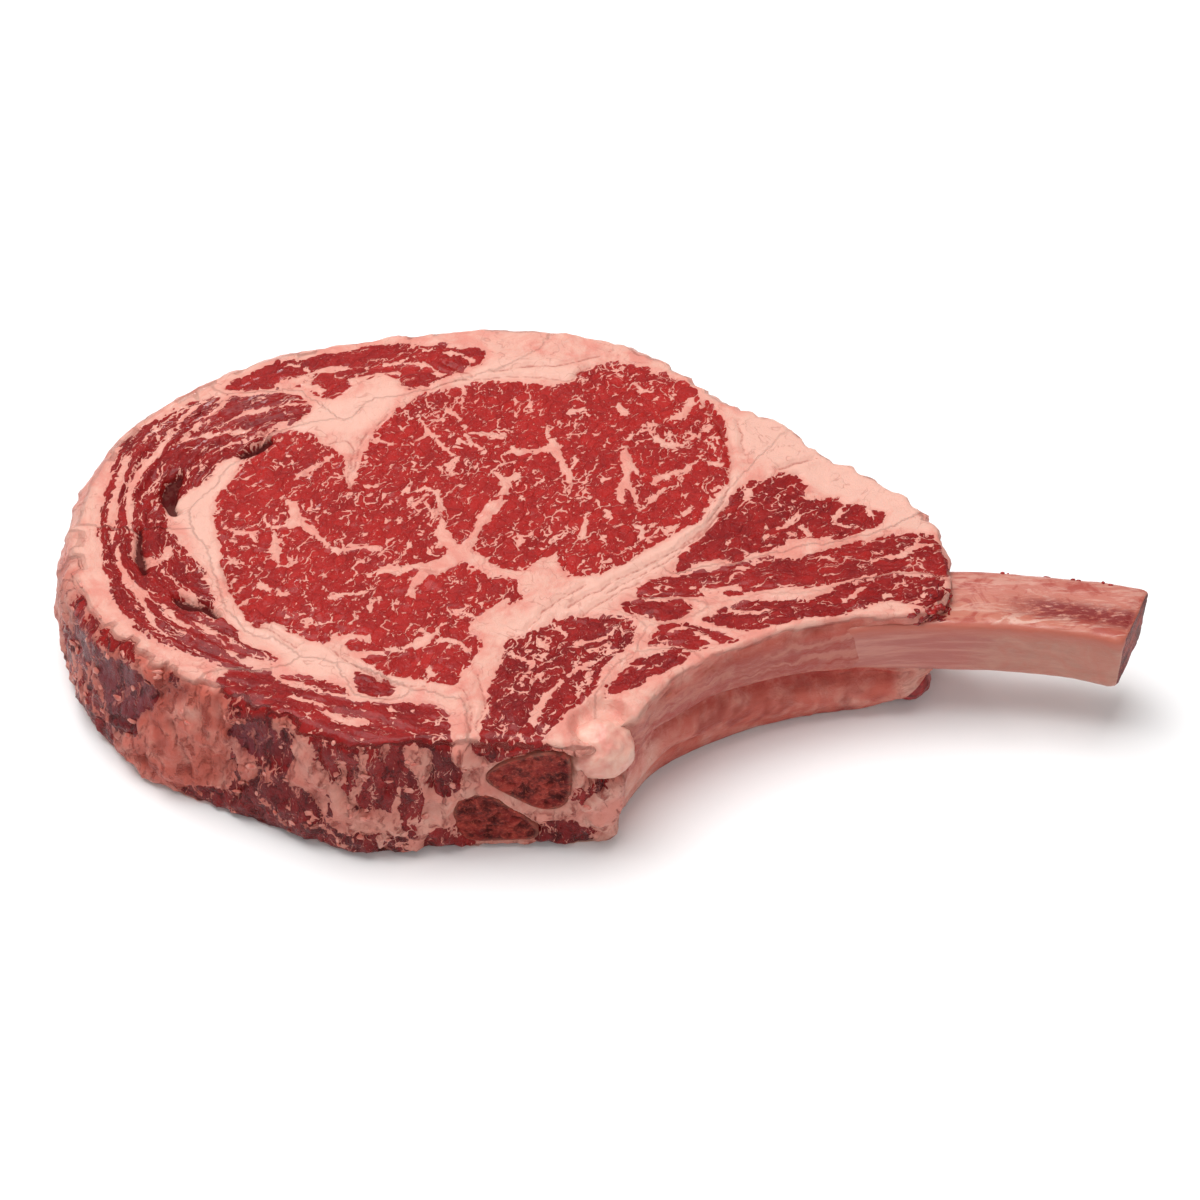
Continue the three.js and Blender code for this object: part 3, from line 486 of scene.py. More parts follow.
def knob_shift():
    """How far the frame's origin lies from the plan's mark, in millimetres."""
    low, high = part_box("cartilage_knob")
    middle = np.array((low + high) / 2) / MM
    return np.array([middle[0] - KNOB_CENTRE[0], middle[1] - KNOB_CENTRE[1], 0.0])


SHIFT = knob_shift()


def smoothstep(value, low, high):
    """From 0 at low to 1 at high, eased at both ends."""
    share = np.clip((value - low) / (high - low), 0, 1)
    return share * share * (3 - 2 * share)


def bell(distance, reach):
    """1 at no distance, falling off evenly within about twice the reach."""
    return np.exp(-((distance / reach) ** 2))


def noise(points, seed):
    """Smooth value noise from -1 to 1 on a unit lattice."""
    cell = np.floor(points).astype(np.int64)
    share = points - cell
    share = share * share * (3 - 2 * share)
    total = np.zeros(len(points))
    for corner in range(8):
        step = np.array([corner & 1, corner >> 1 & 1, corner >> 2 & 1])
        x, y, z = (cell + step).T
        mixed = (x * 73856093 ^ y * 19349663 ^ z * 83492791 ^ seed * 2654435761) & 0xFFFFFFFF
        mixed = (mixed ^ mixed >> 13) * 1274126177 & 0xFFFFFFFF
        mixed = (mixed ^ mixed >> 16) / 0xFFFFFFFF
        weight = np.where(step, share, 1 - share).prod(1)
        total += weight * (2 * mixed - 1)
    return total


def rough(points, size, seed, octaves=3):
    """Noise whose largest lumps are size millimetres across; size may be one per axis."""
    total, weight, scale = 0.0, 1.0, 1.0 / np.asarray(size, float)
    for octave in range(octaves):
        total = total + weight * noise(points * scale, seed + octave)
        weight, scale = weight * 0.5, scale * 2.03
    return total / (2 - 2 * weight)


def smooth_line(rows, closed, step):
    """A smooth line through rows, in even steps; further columns ride along."""
    rows = np.asarray(rows, float)
    if closed:
        padded = np.vstack([rows[-1:], rows, rows[:2]])
    else:
        padded = np.vstack([2 * rows[:1] - rows[1:2], rows, 2 * rows[-1:] - rows[-2:-1]])
    t = np.linspace(0, 1, 16, endpoint=False)[:, None]
    spans = []
    for k in range(len(padded) - 3):
        a, b, c, d = padded[k:k + 4]
        spans.append(0.5 * (2 * b + (c - a) * t + (2 * a - 5 * b + 4 * c - d) * t ** 2
                            + (3 * b - a - 3 * c + d) * t ** 3))
    fine = np.vstack(spans + [padded[1:2] if closed else rows[-1:]])
    length = np.r_[0, np.cumsum(np.hypot(*np.diff(fine[:, :2], axis=0).T))]
    count = max(2, round(length[-1] / step))
    at = np.linspace(0, length[-1], count + 1)
    even = np.stack([np.interp(at, length, column) for column in fine.T], 1)
    return even[:-1] if closed else even


def nearest(points, line, closed=False):
    """For each plan point: how far the line is less its half width, how far along the line
    that is, and whether the point lies inside it."""
    line = np.asarray(line, float)
    ends = np.roll(line, -1, 0) if closed else line[1:]
    gap = np.full(len(points), FAR)
    along = np.zeros(len(points))
    inside = np.zeros(len(points), bool)
    walked = 0.0
    for a, b in zip(line, ends):
        span = b[:2] - a[:2]
        length = max(float(np.hypot(*span)), 1e-9)
        share = np.clip((points - a[:2]) @ span / length ** 2, 0, 1)
        away = np.hypot(*(points - a[:2] - share[:, None] * span).T)
        if len(a) > 2:
            away = away - a[2] - share * (b[2] - a[2])
        closer = away < gap
        gap = np.where(closer, away, gap)
        along = np.where(closer, walked + share * length, along)
        if closed:
            crosses = (a[1] > points[:, 1]) != (b[1] > points[:, 1])
            rise = b[1] - a[1] if b[1] != a[1] else 1e-9
            inside ^= crosses & (points[:, 0] < a[0] + (points[:, 1] - a[1]) / rise * span[0])
        walked += length
    return gap, along, inside


def lines_gap(points, lines):
    """The distance to the nearest of several lines, less its half width there."""
    gap = np.full(len(points), FAR)
    for line in lines:
        gap = np.minimum(gap, nearest(points, line)[0])
    return gap


def mesh_piece(name, points_mm, faces):
    """A closed mesh from plan points in millimetres, set where the frame has them."""
    mesh = bpy.data.meshes.new(name)
    mesh.from_pydata(((points_mm + SHIFT) * MM).tolist(), [], faces)
    mesh.validate()
    mesh.update()
    piece = bpy.data.objects.new(name, mesh)
    bpy.context.scene.collection.objects.link(piece)
    mesh.shade_smooth()
    return piece


def store(piece, name, values):
    """Keeps one number or one vector a point on the piece, for its material to read."""
    values = np.asarray(values, np.float32)
    kind, field = ("FLOAT", "value") if values.ndim == 1 else ("FLOAT_VECTOR", "vector")
    made = piece.data.attributes.new(name, kind, "POINT")
    made.data.foreach_set(field, values.ravel())


def store_bake_map(piece, parts):
    """Keeps the map for the colour bake: per face its corners' places in millimetres on a
    sheet of BAKE_SHEET millimetres."""
    layer = piece.data.uv_layers.new(name="OFBake")
    places = np.concatenate([part.reshape(-1, 2) for part in parts]) / BAKE_SHEET
    layer.data.foreach_set("uv", places.astype(np.float32).ravel())


def point_normals(points, triangles):
    """The direction straight out of the mesh at each point."""
    a, b, c = (points[triangles[:, k]] for k in range(3))
    face = np.cross(b - a, c - a)
    total = np.zeros_like(points)
    for k in range(3):
        np.add.at(total, triangles[:, k], face)
    return total / np.maximum(np.linalg.norm(total, axis=1, keepdims=True), 1e-12)


# ------------------------------------------------------------------ the slab
def side_push(x, y, height):
    """How far lobes and tears push the side out at each place."""
    push = np.zeros_like(height)
    for cx, cy, level, along, up, amount in SIDE_CRAGS:
        push += amount * bell(np.hypot(x - cx, y - cy), along) * bell(height - level, up)
    start, end, reach, amount = GROOVE
    drop, roll_reach, roll = FAT_ROLL
    for k, (cx, cy) in enumerate(HOLLOW_SIDE):
        level = start + (end - start) * k / (len(HOLLOW_SIDE) - 1)
        near = bell(np.hypot(x - cx, y - cy), HOLLOW_REACH)
        push += near * amount * bell(height - level, reach)
        push += near * roll * bell(height - level + drop, roll_reach)
    return push


def face_height(x, y):
    """The height of the cut face with its broad swells and hollows."""
    height = np.full_like(x, THICKNESS)
    for cx, cy, reach, rise in FACE_SWELLS:
        height += rise * bell(np.hypot(x - cx, y - cy), reach)
    return height + 0.22 * np.sin(x / 15 + y / 11) * np.cos(y / 15 - x / 11)


def rib_reach(x, y, height):
    """How deep inside the rib each place is, from the rib's own sizes; 0 is its surface."""
    line = smooth_line(RIB, False, 3.0)
    gap, along, _ = nearest(np.stack([x, y], 1), line[:, :2])
    station = np.r_[0, np.cumsum(np.hypot(*np.diff(line[:, :2], axis=0).T))]
    half = np.interp(along, station, line[:, 2])
    low = np.interp(along, station, line[:, 3])
    level = np.clip(2 * (height - low) / (RIB_TOP - low) - 1, -1, 1)
    return half * (1 - np.abs(level) ** 6) ** (1 / 6) - gap


def outward(rim):
    """The level direction straight out of a closed outline at each of its points."""
    ahead = np.roll(rim[:, :2], -1, 0) - np.roll(rim[:, :2], 1, 0)
    ahead /= np.linalg.norm(ahead, axis=1, keepdims=True)
    return np.stack([ahead[:, 1], -ahead[:, 0]], 1)


def torn_edge(rim, step):
    """How far the knife's steps and nicks set the edge back: stepped at the right, where the
    fat was pulled off, and slightly uneven elsewhere."""
    walk = np.arange(len(rim)) * step
    walk = np.column_stack([walk, walk * 0, walk * 0])
    tooth = walk[:, 0] / 9 + 1.1 * rough(walk, 16, 121)
    tooth -= np.floor(tooth)
    pulled = smoothstep(rim[:, 0], 8, 24) * smoothstep(rim[:, 1], 16, 30)
    steps = 1.7 * (tooth - smoothstep(tooth, 0.74, 1.0)) + 0.5 * rough(walk, 3.4, 124)
    return pulled * steps + 0.45 * np.abs(rough(walk, 7, 127))


def slab_skin(face_step, side_step):
    """The slab's points, triangles for its two faces, quads for its side, the side's number
    of points a ring and of rings, and the height that each of the side's points starts at."""
    rim = smooth_line(SLAB, True, side_step)
    out = outward(rim)
    rim[:, :2] -= out * torn_edge(rim, side_step)[:, None]
    x, y, foot, shoulder = rim.T
    top = THICKNESS + CROWN
    levels, insets = [], []
    for angle in np.linspace(0, math.pi / 2, 5):
        levels.append(np.full_like(x, TOE * (1 - math.cos(angle))))
        insets.append(np.full_like(x, TOE * (1 - math.sin(angle))))
    bands = round((THICKNESS - TOE - 4) / side_step)
    for band in range(1, bands + 1):
        levels.append(TOE + (top - shoulder - TOE) * band / bands)
        insets.append(np.zeros_like(x))
    for angle in np.linspace(0, math.pi / 2, 7)[1:]:
        levels.append(top - shoulder * (1 - math.sin(angle)))
        insets.append(shoulder * (1 - math.cos(angle)))
    rows = []
    for height, inset in zip(levels, insets):
        share = height / THICKNESS
        swell = BELLY * np.sin(np.pi * np.minimum(share, 1))
        push = foot * (1 - share) + swell + side_push(x, y, height) - inset
        plan = rim[:, :2] + out * push[:, None]
        rows.append(np.column_stack([plan, np.minimum(height, face_height(*plan.T))]))
    count = len(rim)
    side = np.vstack(rows)
    quads = []
    for row in range(len(rows) - 1):
        a = row * count + np.arange(count)
        b = row * count + (np.arange(count) + 1) % count
        quads.append(np.stack([a, b, b + count, a + count], 1))
    faces = {"side": np.vstack(quads)}
    points, first = [side], len(side)
    for name, ring, step in (("lower", 0, face_step * 4), ("upper", len(rows) - 1, face_step)):
        edge = rows[ring][:, :2]
        inner, cut = fill_face(edge, step)
        height = face_height(*inner.T) if name == "upper" else np.zeros(len(inner))
        points.append(np.column_stack([inner, height]))
        index = np.where(cut < count, cut + ring * count, cut - count + first)
        faces[name] = index if name == "upper" else index[:, ::-1]
        first += len(inner)
    return np.vstack(points), faces, count, len(rows), np.concatenate(levels)


def fill_face(edge, step):
    """Points in even rows inside an edge, and the triangles that join them to it. The edge's
    points count first."""
    low, high = edge.min(0), edge.max(0)
    ys = np.arange(low[1] + step, high[1], step * 0.866)
    xs = np.arange(low[0], high[0], step)
    grid_x, grid_y = np.meshgrid(xs, ys)
    grid_x = grid_x + (np.arange(len(ys)) % 2)[:, None] * step / 2
    inner = np.stack([grid_x.ravel(), grid_y.ravel()], 1)
    inner += 0.12 * step * np.stack([noise(np.c_[inner, inner[:, :1]] * 1.7, k) for k in (3, 4)], 1)
    gap, _, inside = nearest(inner, edge[::2], True)
    inner = inner[inside & (gap > step * 0.7)]
    count = len(edge)
    corners = [Vector(p) for p in np.vstack([edge, inner])]
    loop = [(k, (k + 1) % count) for k in range(count)]
    made = delaunay_2d_cdt(corners, loop, [], 1, 1e-6, False)
    cut = np.array(made[2])
    if len(made[0]) != len(corners):
        raise RuntimeError("the cut face's edge crosses itself")
    corners = np.vstack([edge, inner])
    cut = cut[nearest(corners[cut].mean(1), edge, True)[2]]
    a, b, c = (corners[cut[:, k]] for k in range(3))
    turn = (b[:, 0] - a[:, 0]) * (c[:, 1] - a[:, 1]) - (b[:, 1] - a[:, 1]) * (c[:, 0] - a[:, 0])
    cut[turn < 0] = cut[turn < 0][:, ::-1]
    return inner, cut


# ------------------------------------------------------------------ fields of the meat
def plan_fields(plan):
    """What the cut shows at each plan point: lean (distance from fat, inside muscle), tone,
    marbling, grain, hard fat, folds and gaps."""
    lean = np.full(len(plan), -FAR)
    tone, marbled, layered = (np.zeros(len(plan)) for _ in range(3))
    grain = np.zeros((len(plan), 2))
    edge_gap, edge_along, _ = nearest(plan, smooth_line(SLAB, True, 4)[:, :2], True)
    for name, (dark, marble, turn, outline) in MUSCLES.items():
        gap, _, inside = nearest(plan, smooth_line(outline, True, 2.5), True)
        gap = np.where(inside, gap, -gap)
        nearer = gap > lean
        lean = np.where(nearer, gap, lean)
        tone = np.where(nearer, dark, tone)
        marbled = np.where(nearer, marble, marbled)
        angle = math.radians(turn)
        along = plan @ np.array([math.cos(angle), math.sin(angle)])
        across = plan @ np.array([-math.sin(angle), math.cos(angle)])
        if name == "cap_side":
            along, across = edge_along, edge_gap * 1.3
        along = along * BUNDLE_LENGTH.get(name, 1.0)
        layered = np.where(nearer, name == "cap_side", layered)
        grain = np.where(nearer[:, None], np.stack([along, across], 1), grain)
    vein = lines_gap(plan, [smooth_line(v, False, 1.5) for v in VEINS])
    flat = np.column_stack([plan, plan[:, 0] * 0])
    vein += 0.5 * rough(flat, 5, 57) + 0.3 * rough(flat, 2, 58) + 0.1
    return {
        "lean": np.minimum(lean, vein), "tone": tone, "marbled": marbled,
        "grain": grain, "hard": -lines_gap(plan, HARD_FAT),
        "fold": lines_gap(plan, [smooth_line(f, False, 1.5) for f in FOLDS]),
        "pit": lines_gap(plan, [smooth_line(p, False, 1) for p in GAPS]),
        "layered": layered,
    }


def front_fields(along, height):
    """The same for the torn front side, by how far along and how high."""
    flat = np.stack([along, height], 1)
    lean = np.full(len(flat), -FAR)
    tone, marbled, skin = (np.zeros(len(flat)) for _ in range(3))
    for name, (dark, marble, outline) in FRONT_MUSCLES.items():
        gap, _, inside = nearest(flat, smooth_line(outline, True, 2), True)
        gap = np.where(inside, gap, -gap)
        nearer = gap > lean
        lean = np.where(nearer, gap, lean)
        tone = np.where(nearer, dark, tone)
        marbled = np.where(nearer, marble, marbled)
        if name in ("skinned", "purple"):
            skin = np.maximum(skin, smoothstep(gap, -1.5, 2.5))
    vein = lines_gap(flat, [smooth_line(v, False, 1.5) for v in FRONT_VEINS])
    pale = np.zeros(len(flat))
    for x, y, wide, tall in PALE_LOBES:
        pale = np.maximum(pale, bell(np.hypot((along - x) / wide, (height - y) / tall), 1))
    return {
        "lean": np.minimum(lean, vein), "tone": tone, "marbled": marbled, "skin": skin,
        "pale": pale,
        "fold": lines_gap(flat, [smooth_line(f, False, 1.5) for f in FRONT_FOLDS]),
    }


def side_fields(points, level, rim_plan, rim_along):
    """The fields of the side: torn muscle and fat on the front, a pale cover of fat behind,
    with the cut's own seams showing through near its two edges."""
    plan = plan_fields(points[:, :2])
    gap, along, _ = nearest(rim_plan, smooth_line(FRONT, False, 3))
    reach = nearest(np.array([FRONT[-1]], float), smooth_line(FRONT, False, 3))[1][0]
    ragged = np.stack([along, level, along * 0], 1)
    warp = [1.5 * rough(ragged, 4.5, seed, 3) for seed in (21, 31)]
    front = front_fields(along + warp[0], level + warp[1])
    shreds = 6 * rough(ragged, (6, 15, 9), 47) - 1.7 - 3 * front["pale"]
    shreds -= 9 * smoothstep(along, 150, 170)
    front["lean"] = np.maximum(front["lean"], shreds)
    ahead = (1 - smoothstep(gap, 9, 14)) * smoothstep(along + 5 * rough(ragged, 9, 48), 3, 13)
    ahead *= 1 - smoothstep(along, reach - 9, reach - 2)
    cover = np.stack([rim_along, level * 1.0, rim_along * 0], 1)
    streak = 8 * rough(cover, (24, 4.5, 9), 41) - 4.0
    cut = smoothstep(THICKNESS + CROWN - level + 1.6 * rough(cover, 5, 43), 0.6, 2.2)
    cut *= smoothstep(level, 0.3, 1.6)
    mix = {}
    for name, behind in (("lean", streak), ("tone", 0.45), ("marbled", 0.35),
                         ("skin", smoothstep(rough(cover, 24, 45), 0.0, 0.6) * 0.5),
                         ("fold", 9.0)):
        there = front[name] * ahead + behind * (1 - ahead)
        mix[name] = there * cut + plan.get(name, 0.0) * (1 - cut)
    hollow = ahead * smoothstep(along, 176, 184)
    upright = np.stack([level * 0.45, rim_along], 1)
    lengthwise = np.stack([rim_along * 0.3, level], 1)
    torn_front = (hollow < 0.5) & (ahead > 0.5)
    upright = np.where(torn_front[:, None], upright, lengthwise)
    mix["grain"] = np.where((cut > 0.5)[:, None], upright, plan["grain"])
    for name, away in (("hard", -9.0), ("pit", 9.0)):
        mix[name] = plan[name] * (1 - cut) + away * cut
    # how much of the side's fat takes the outer colour, darker and more orange, partly its own tone
    # and partly painted shade: a little all over the side, most on the salmon lobes of the front
    salmon = np.maximum(bell(along - 62, 48), smoothstep(along, 190, 205))
    mix.update(cut=cut, front=ahead, along=along,
               outer=cut * (0.3 + ahead * (0.75 * salmon - 0.05)))

    # the hollow: the rib under its film, the bloody groove below it, the roll of fat
    neck = smoothstep(rim_plan[:, 0], 76, 82) * (rim_plan[:, 1] < 20)
    line = smooth_line(HOLLOW_SIDE, False, 3)
    share = nearest(rim_plan, line)[1] / nearest(line[-1:], line)[1][0]
    groove = GROOVE[0] + (GROOVE[1] - GROOVE[0]) * share + 0.8 * warp[0]
    over = smoothstep(level, groove + 1.5, groove + 3.5)
    over *= 1 - smoothstep(level, THICKNESS - 5, THICKNESS - 3)
    mix["hollow"] = hollow
    mix["band"] = np.maximum(hollow, neck) * over * cut
    # the groove is stained with blood, and a band along the foot of the hollow side is darkened with
    # the same colour
    mix["blood"] = cut * hollow * np.maximum(0.9 * bell(level - groove, 3.2),
                                             0.8 * bell(level - 1, 1.8))
    return mix


def chine_gap(points):
    """How far inside a sawn chine face each place on the front lies."""
    flat = points[:, [0, 2]]
    best = np.full(len(points), -FAR)
    for outline in CHINE.values():
        gap, _, inside = nearest(flat, smooth_line(outline, True, 2), True)
        best = np.maximum(best, np.where(inside, gap, -gap))
    return np.where(points[:, 1] < CHINE_FRONT + 6, best, -FAR)


def build_meat(sizes):
    """The meat and fat: the slab's skin, moved by its fields, with the fields kept on it."""
    points, faces, count, rings, level = slab_skin(sizes.face_step / MM, sizes.side_step / MM)
    sides = count * rings
    under = int(faces["lower"].max()) + 1
    rim = smooth_line(SLAB, True, sizes.side_step / MM)[:, :2]
    walked = np.r_[0, np.cumsum(np.hypot(*np.diff(rim, axis=0).T))]
    side = side_fields(points[:sides], level, np.tile(rim, (rings, 1)), np.tile(walked, rings))
    plan = plan_fields(points[sides:, :2] + 0.9 * np.stack(
        [rough(points[sides:], 3.2, seed, 3) for seed in (11, 12)], 1))
    names = ("lean", "tone", "marbled", "fold", "pit", "hard", "grain", "layered")
    fields = {n: np.concatenate([side[n] if n in side else np.zeros(sides), plan[n]])
              for n in names}
    rest = np.zeros(len(points) - sides)
    for name in ("skin", "hollow", "front", "cut", "band", "blood", "outer", "along"):
        fields[name] = np.concatenate([side[name], rest])

    triangles = np.vstack([faces["upper"], faces["lower"], faces["side"][:, :3],
                           faces["side"][:, [0, 2, 3]]])
    normal = point_normals(points, triangles)
    on_side = np.arange(len(points)) < sides
    fat = smoothstep(-fields["lean"], -0.5, 0.9)
    grain = np.column_stack([fields["grain"], fields["grain"][:, 0] * 0])
    soft = 1 - 0.6 * fields["skin"]

    # the cut face: soft swells, muscle bundles, fat standing proud of its seams, folds
    rise = 0.4 * rough(points, 15, 51) + 0.22 * rough(points, 5, 52)
    rise += (1 - fat) * 0.3 * rough(grain, (4.5, 1.9, 9), 53)
    rise += 0.32 * fat - 0.16 * bell(fields["lean"], 0.9)
    rise += fat * 0.16 * rough(points, (6, 6, 6), 54)
    split = fields["fold"]
    rise += -0.6 * bell(split, 0.8) + 0.3 * bell(split - 1.7, 1.1)
    rise -= 2.2 * bell(np.maximum(fields["pit"] + 0.4 * rough(points, 2.2, 56), 0), 0.8)
    flake = fields["grain"][:, 1] / 5.6 + 0.35 * rough(points, 12, 55)
    flake -= np.floor(flake)
    rise += 1.0 * fields["layered"] * (flake - smoothstep(flake, 0.82, 1.0)) * (1 - fat)

    # the side: lobes, upright ridges in the muscle, torn folds
    rest_walk = np.concatenate([np.tile(walked, rings), rest])
    walk = np.column_stack([fields["along"], points[:, 2], points[:, 0] * 0])
    ridge = 1 - np.abs(rough(walk, (5.5, 15, 9), 67)) * 2.2
    small = 0.95 * rough(points, 3.8, 62) + 0.35 * rough(points, 1.9, 63)
    lumpy = 1.5 * rough(points, 9, 61) + small
    push = lumpy * soft + (1 - fat) * soft * 0.7 * rough(grain, (4.5, 1.9, 9), 64)
    push += 0.9 * soft * ridge * fields["front"]
    # painted shade: where the side's lumps and ridges dip, its fat is darkened towards the creases'
    # colour
    deep = smoothstep(-(lumpy + 0.6 * ridge), -0.2, 0.9) * fields["outer"]
    push += 0.75 * fat - 0.45 * bell(fields["lean"], 0.8)
    push += -1.1 * bell(split, 0.9) + 0.45 * bell(split - 2.1, 1.3)
    smooth_hollow = 0.35 * rough(walk, (26, 3.6, 9), 65) + 0.3 * rough(points, 7, 66)
    push = push * (1 - fields["hollow"]) + fields["hollow"] * (
        smooth_hollow - 0.9 * bell(split, 0.9))
    wrinkle = 1 - np.abs(rough(np.column_stack([rest_walk, points[:, 2], points[:, 0] * 0]),
                               (26, 6, 9), 68)) * 3
    push -= 0.8 * smoothstep(wrinkle, 0.3, 1.0) * (1 - fields["front"])
    sawn = chine_gap(points) + 0.9 * rough(points, 2.8, 69)
    push *= smoothstep(-sawn, 0.5, 3)
    push -= 1.6 * smoothstep(sawn, -0.8, 0.9) - 0.6 * bell(sawn + 2.2, 1.6)

    # the side moves level, so that its lobes show in the outline of the cut face as well
    ring = np.repeat(np.arange(rings), count)
    still = smoothstep(ring, rings - 6, rings - 1)
    flat_foot = np.where(on_side, smoothstep(points[:, 2], 0.0, 1.5), 1.0)
    level_out = np.zeros_like(points)
    level_out[:sides, :2] = np.tile(outward(rim), (rings, 1))
    shove = push * flat_foot
    shove[:sides] *= 1 - still
    shove[sides:] = 0
    rise = np.where(on_side, rise * (1 - fields["cut"]), rise) * flat_foot
    rise[sides:under] = 0
    points = points + normal * rise[:, None] + level_out * shove[:, None]

    # a bed for the knob of gristle
    knob = np.linalg.norm((points - KNOB_CENTRE) / KNOB_REACH, axis=1)
    knob[sides:under] = FAR
    points -= normal * (KNOB_BED * smoothstep(knob, 1.22, 0.94))[:, None]
    points[:, 2] = np.clip(points[:, 2], 0, THICKNESS + CROWN + 0.4)

    # a film spans the rib in the hollow, and near the neck it lies close on the bone
    x, y, z = points[:sides].T.copy()
    reach = rib_reach(x, y, z)
    over_rib = np.maximum(reach + 0.35, 0) * (1 - smoothstep(x, 62, 72))
    close = reach - 1.6 - 1.3 * rough(points[:sides], 5, 70)
    close = close * smoothstep(x, 64, 74) * smoothstep(reach, -6, -4)
    rib_low = np.interp(x, [row[0] for row in RIB], [row[3] for row in RIB])
    close *= smoothstep(z, rib_low - 1, rib_low + 1.5) * (1 - smoothstep(z, RIB_TOP - 3, RIB_TOP))
    close *= y < 6
    poke = np.where(reach > 0, over_rib, 0) + np.minimum(close, 0)
    level_normal = normal[:sides] * np.array([1, 1, 0])
    points[:sides] += level_normal * np.clip(poke, -7, 3)[:, None]

    # below the neck the meat lifts off the floor
    x, y, z = points.T
    lift = 7.5 * smoothstep(x, 66, 89) * smoothstep(y, 22, 0)
    points[:, 2] = z + lift * np.maximum(1 - z / 17, 0)

    rows = [faces["upper"], faces["lower"], faces["side"]]
    piece = mesh_piece("raw_meat", points, [f for part in rows for f in part.tolist()])
    for name in ("lean", "tone", "marbled", "fold", "pit", "hard", "skin", "band", "blood",
                 "outer"):
        store(piece, name, fields[name])
    store(piece, "deep", deep)
    lean_edge = bell(fields["lean"], 1.6) * fields["cut"]
    store(piece, "crumbs", fields["front"] * lean_edge * (1 - fields["hollow"]))
    store(piece, "shreds", bell(np.linalg.norm(points - NECK, axis=1), 6.5) * on_side)
    away = smoothstep(-sawn, 0, 2) * (1 - fields["hollow"])
    store(piece, "torn", fields["cut"] * away * (0.4 + 0.6 * fields["front"]))
    store(piece, "grain", grain)
    store_bake_map(piece, bake_places(points, faces, count, rings, sizes.side_step / MM))
    return piece


def bake_places(points, faces, count, rings, step):
    """Places in millimetres on the bake sheet: the cut face and the lower face as seen in plan,
    the lower one small, and the side as three strips 43 high, two above the cut face and one
    upright beside it."""
    upper = points[faces["upper"]][:, :, :2] - points[:, :2].min(0) + 1
    lower = (points[faces["lower"]][:, :, :2] - points[:, :2].min(0)) * 0.28 + (1, 257)
    column, ring = faces["side"][:, 0] % count, faces["side"][:, 0] // count
    strip, across = column // math.ceil(count / 3), column % math.ceil(count / 3)
    run = (across[:, None] + (0, 1, 1, 0)) * step
    rise = (ring[:, None] + (0, 0, 1, 1)) / (rings - 1) * 43
    level = np.stack([1 + run, np.where(strip == 0, 164, 210)[:, None] + rise], 2)
    upright = np.stack([240 + rise, 1 + run], 2)
    side = np.where((strip == 2)[:, None, None], upright, level)
    return upper, lower, side


# ------------------------------------------------------------------ materials
EASED = {"interpolation_type": "SMOOTHSTEP"}


def add_node(tree, kind, feeds=(), out=0, **settings):
    """Adds a node with its settings, fills its inputs with values or sockets, by name or in
    the order in which the node shows them, and gives one of its outputs."""
    made = tree.nodes.new(kind)
    for name, value in settings.items():
        setattr(made, name, value)
    shown = [socket for socket in made.inputs if socket.enabled]
    for place, feed in feeds.items() if isinstance(feeds, dict) else enumerate(feeds):
        socket = made.inputs[place] if isinstance(feeds, dict) else shown[place]
        if isinstance(feed, bpy.types.NodeSocket):
            tree.links.new(feed, socket)
        else:
            socket.default_value = feed
    return made.outputs[out] if made.outputs else made


def new_material(name):
    """A material with an empty tree, and a function that adds nodes to that tree."""
    material = bpy.data.materials.new(name)
    material.use_nodes = True
    material.node_tree.nodes.clear()
    return material, functools.partial(add_node, material.node_tree)


def millimetres(add):
    """Places on the piece in millimetres."""
    place = add("ShaderNodeTexCoord", out="Object")
    return add("ShaderNodeVectorMath", (place, 1 / MM), operation="SCALE")


def coated(add, colour, *coats):
    """Lays coats over a colour; each says how much it covers, from 0 to 1, and its colour."""
    for cover, tone in coats:
        colour = add("ShaderNodeMix", (cover, colour, tone), "Result", data_type="RGBA")
    return colour


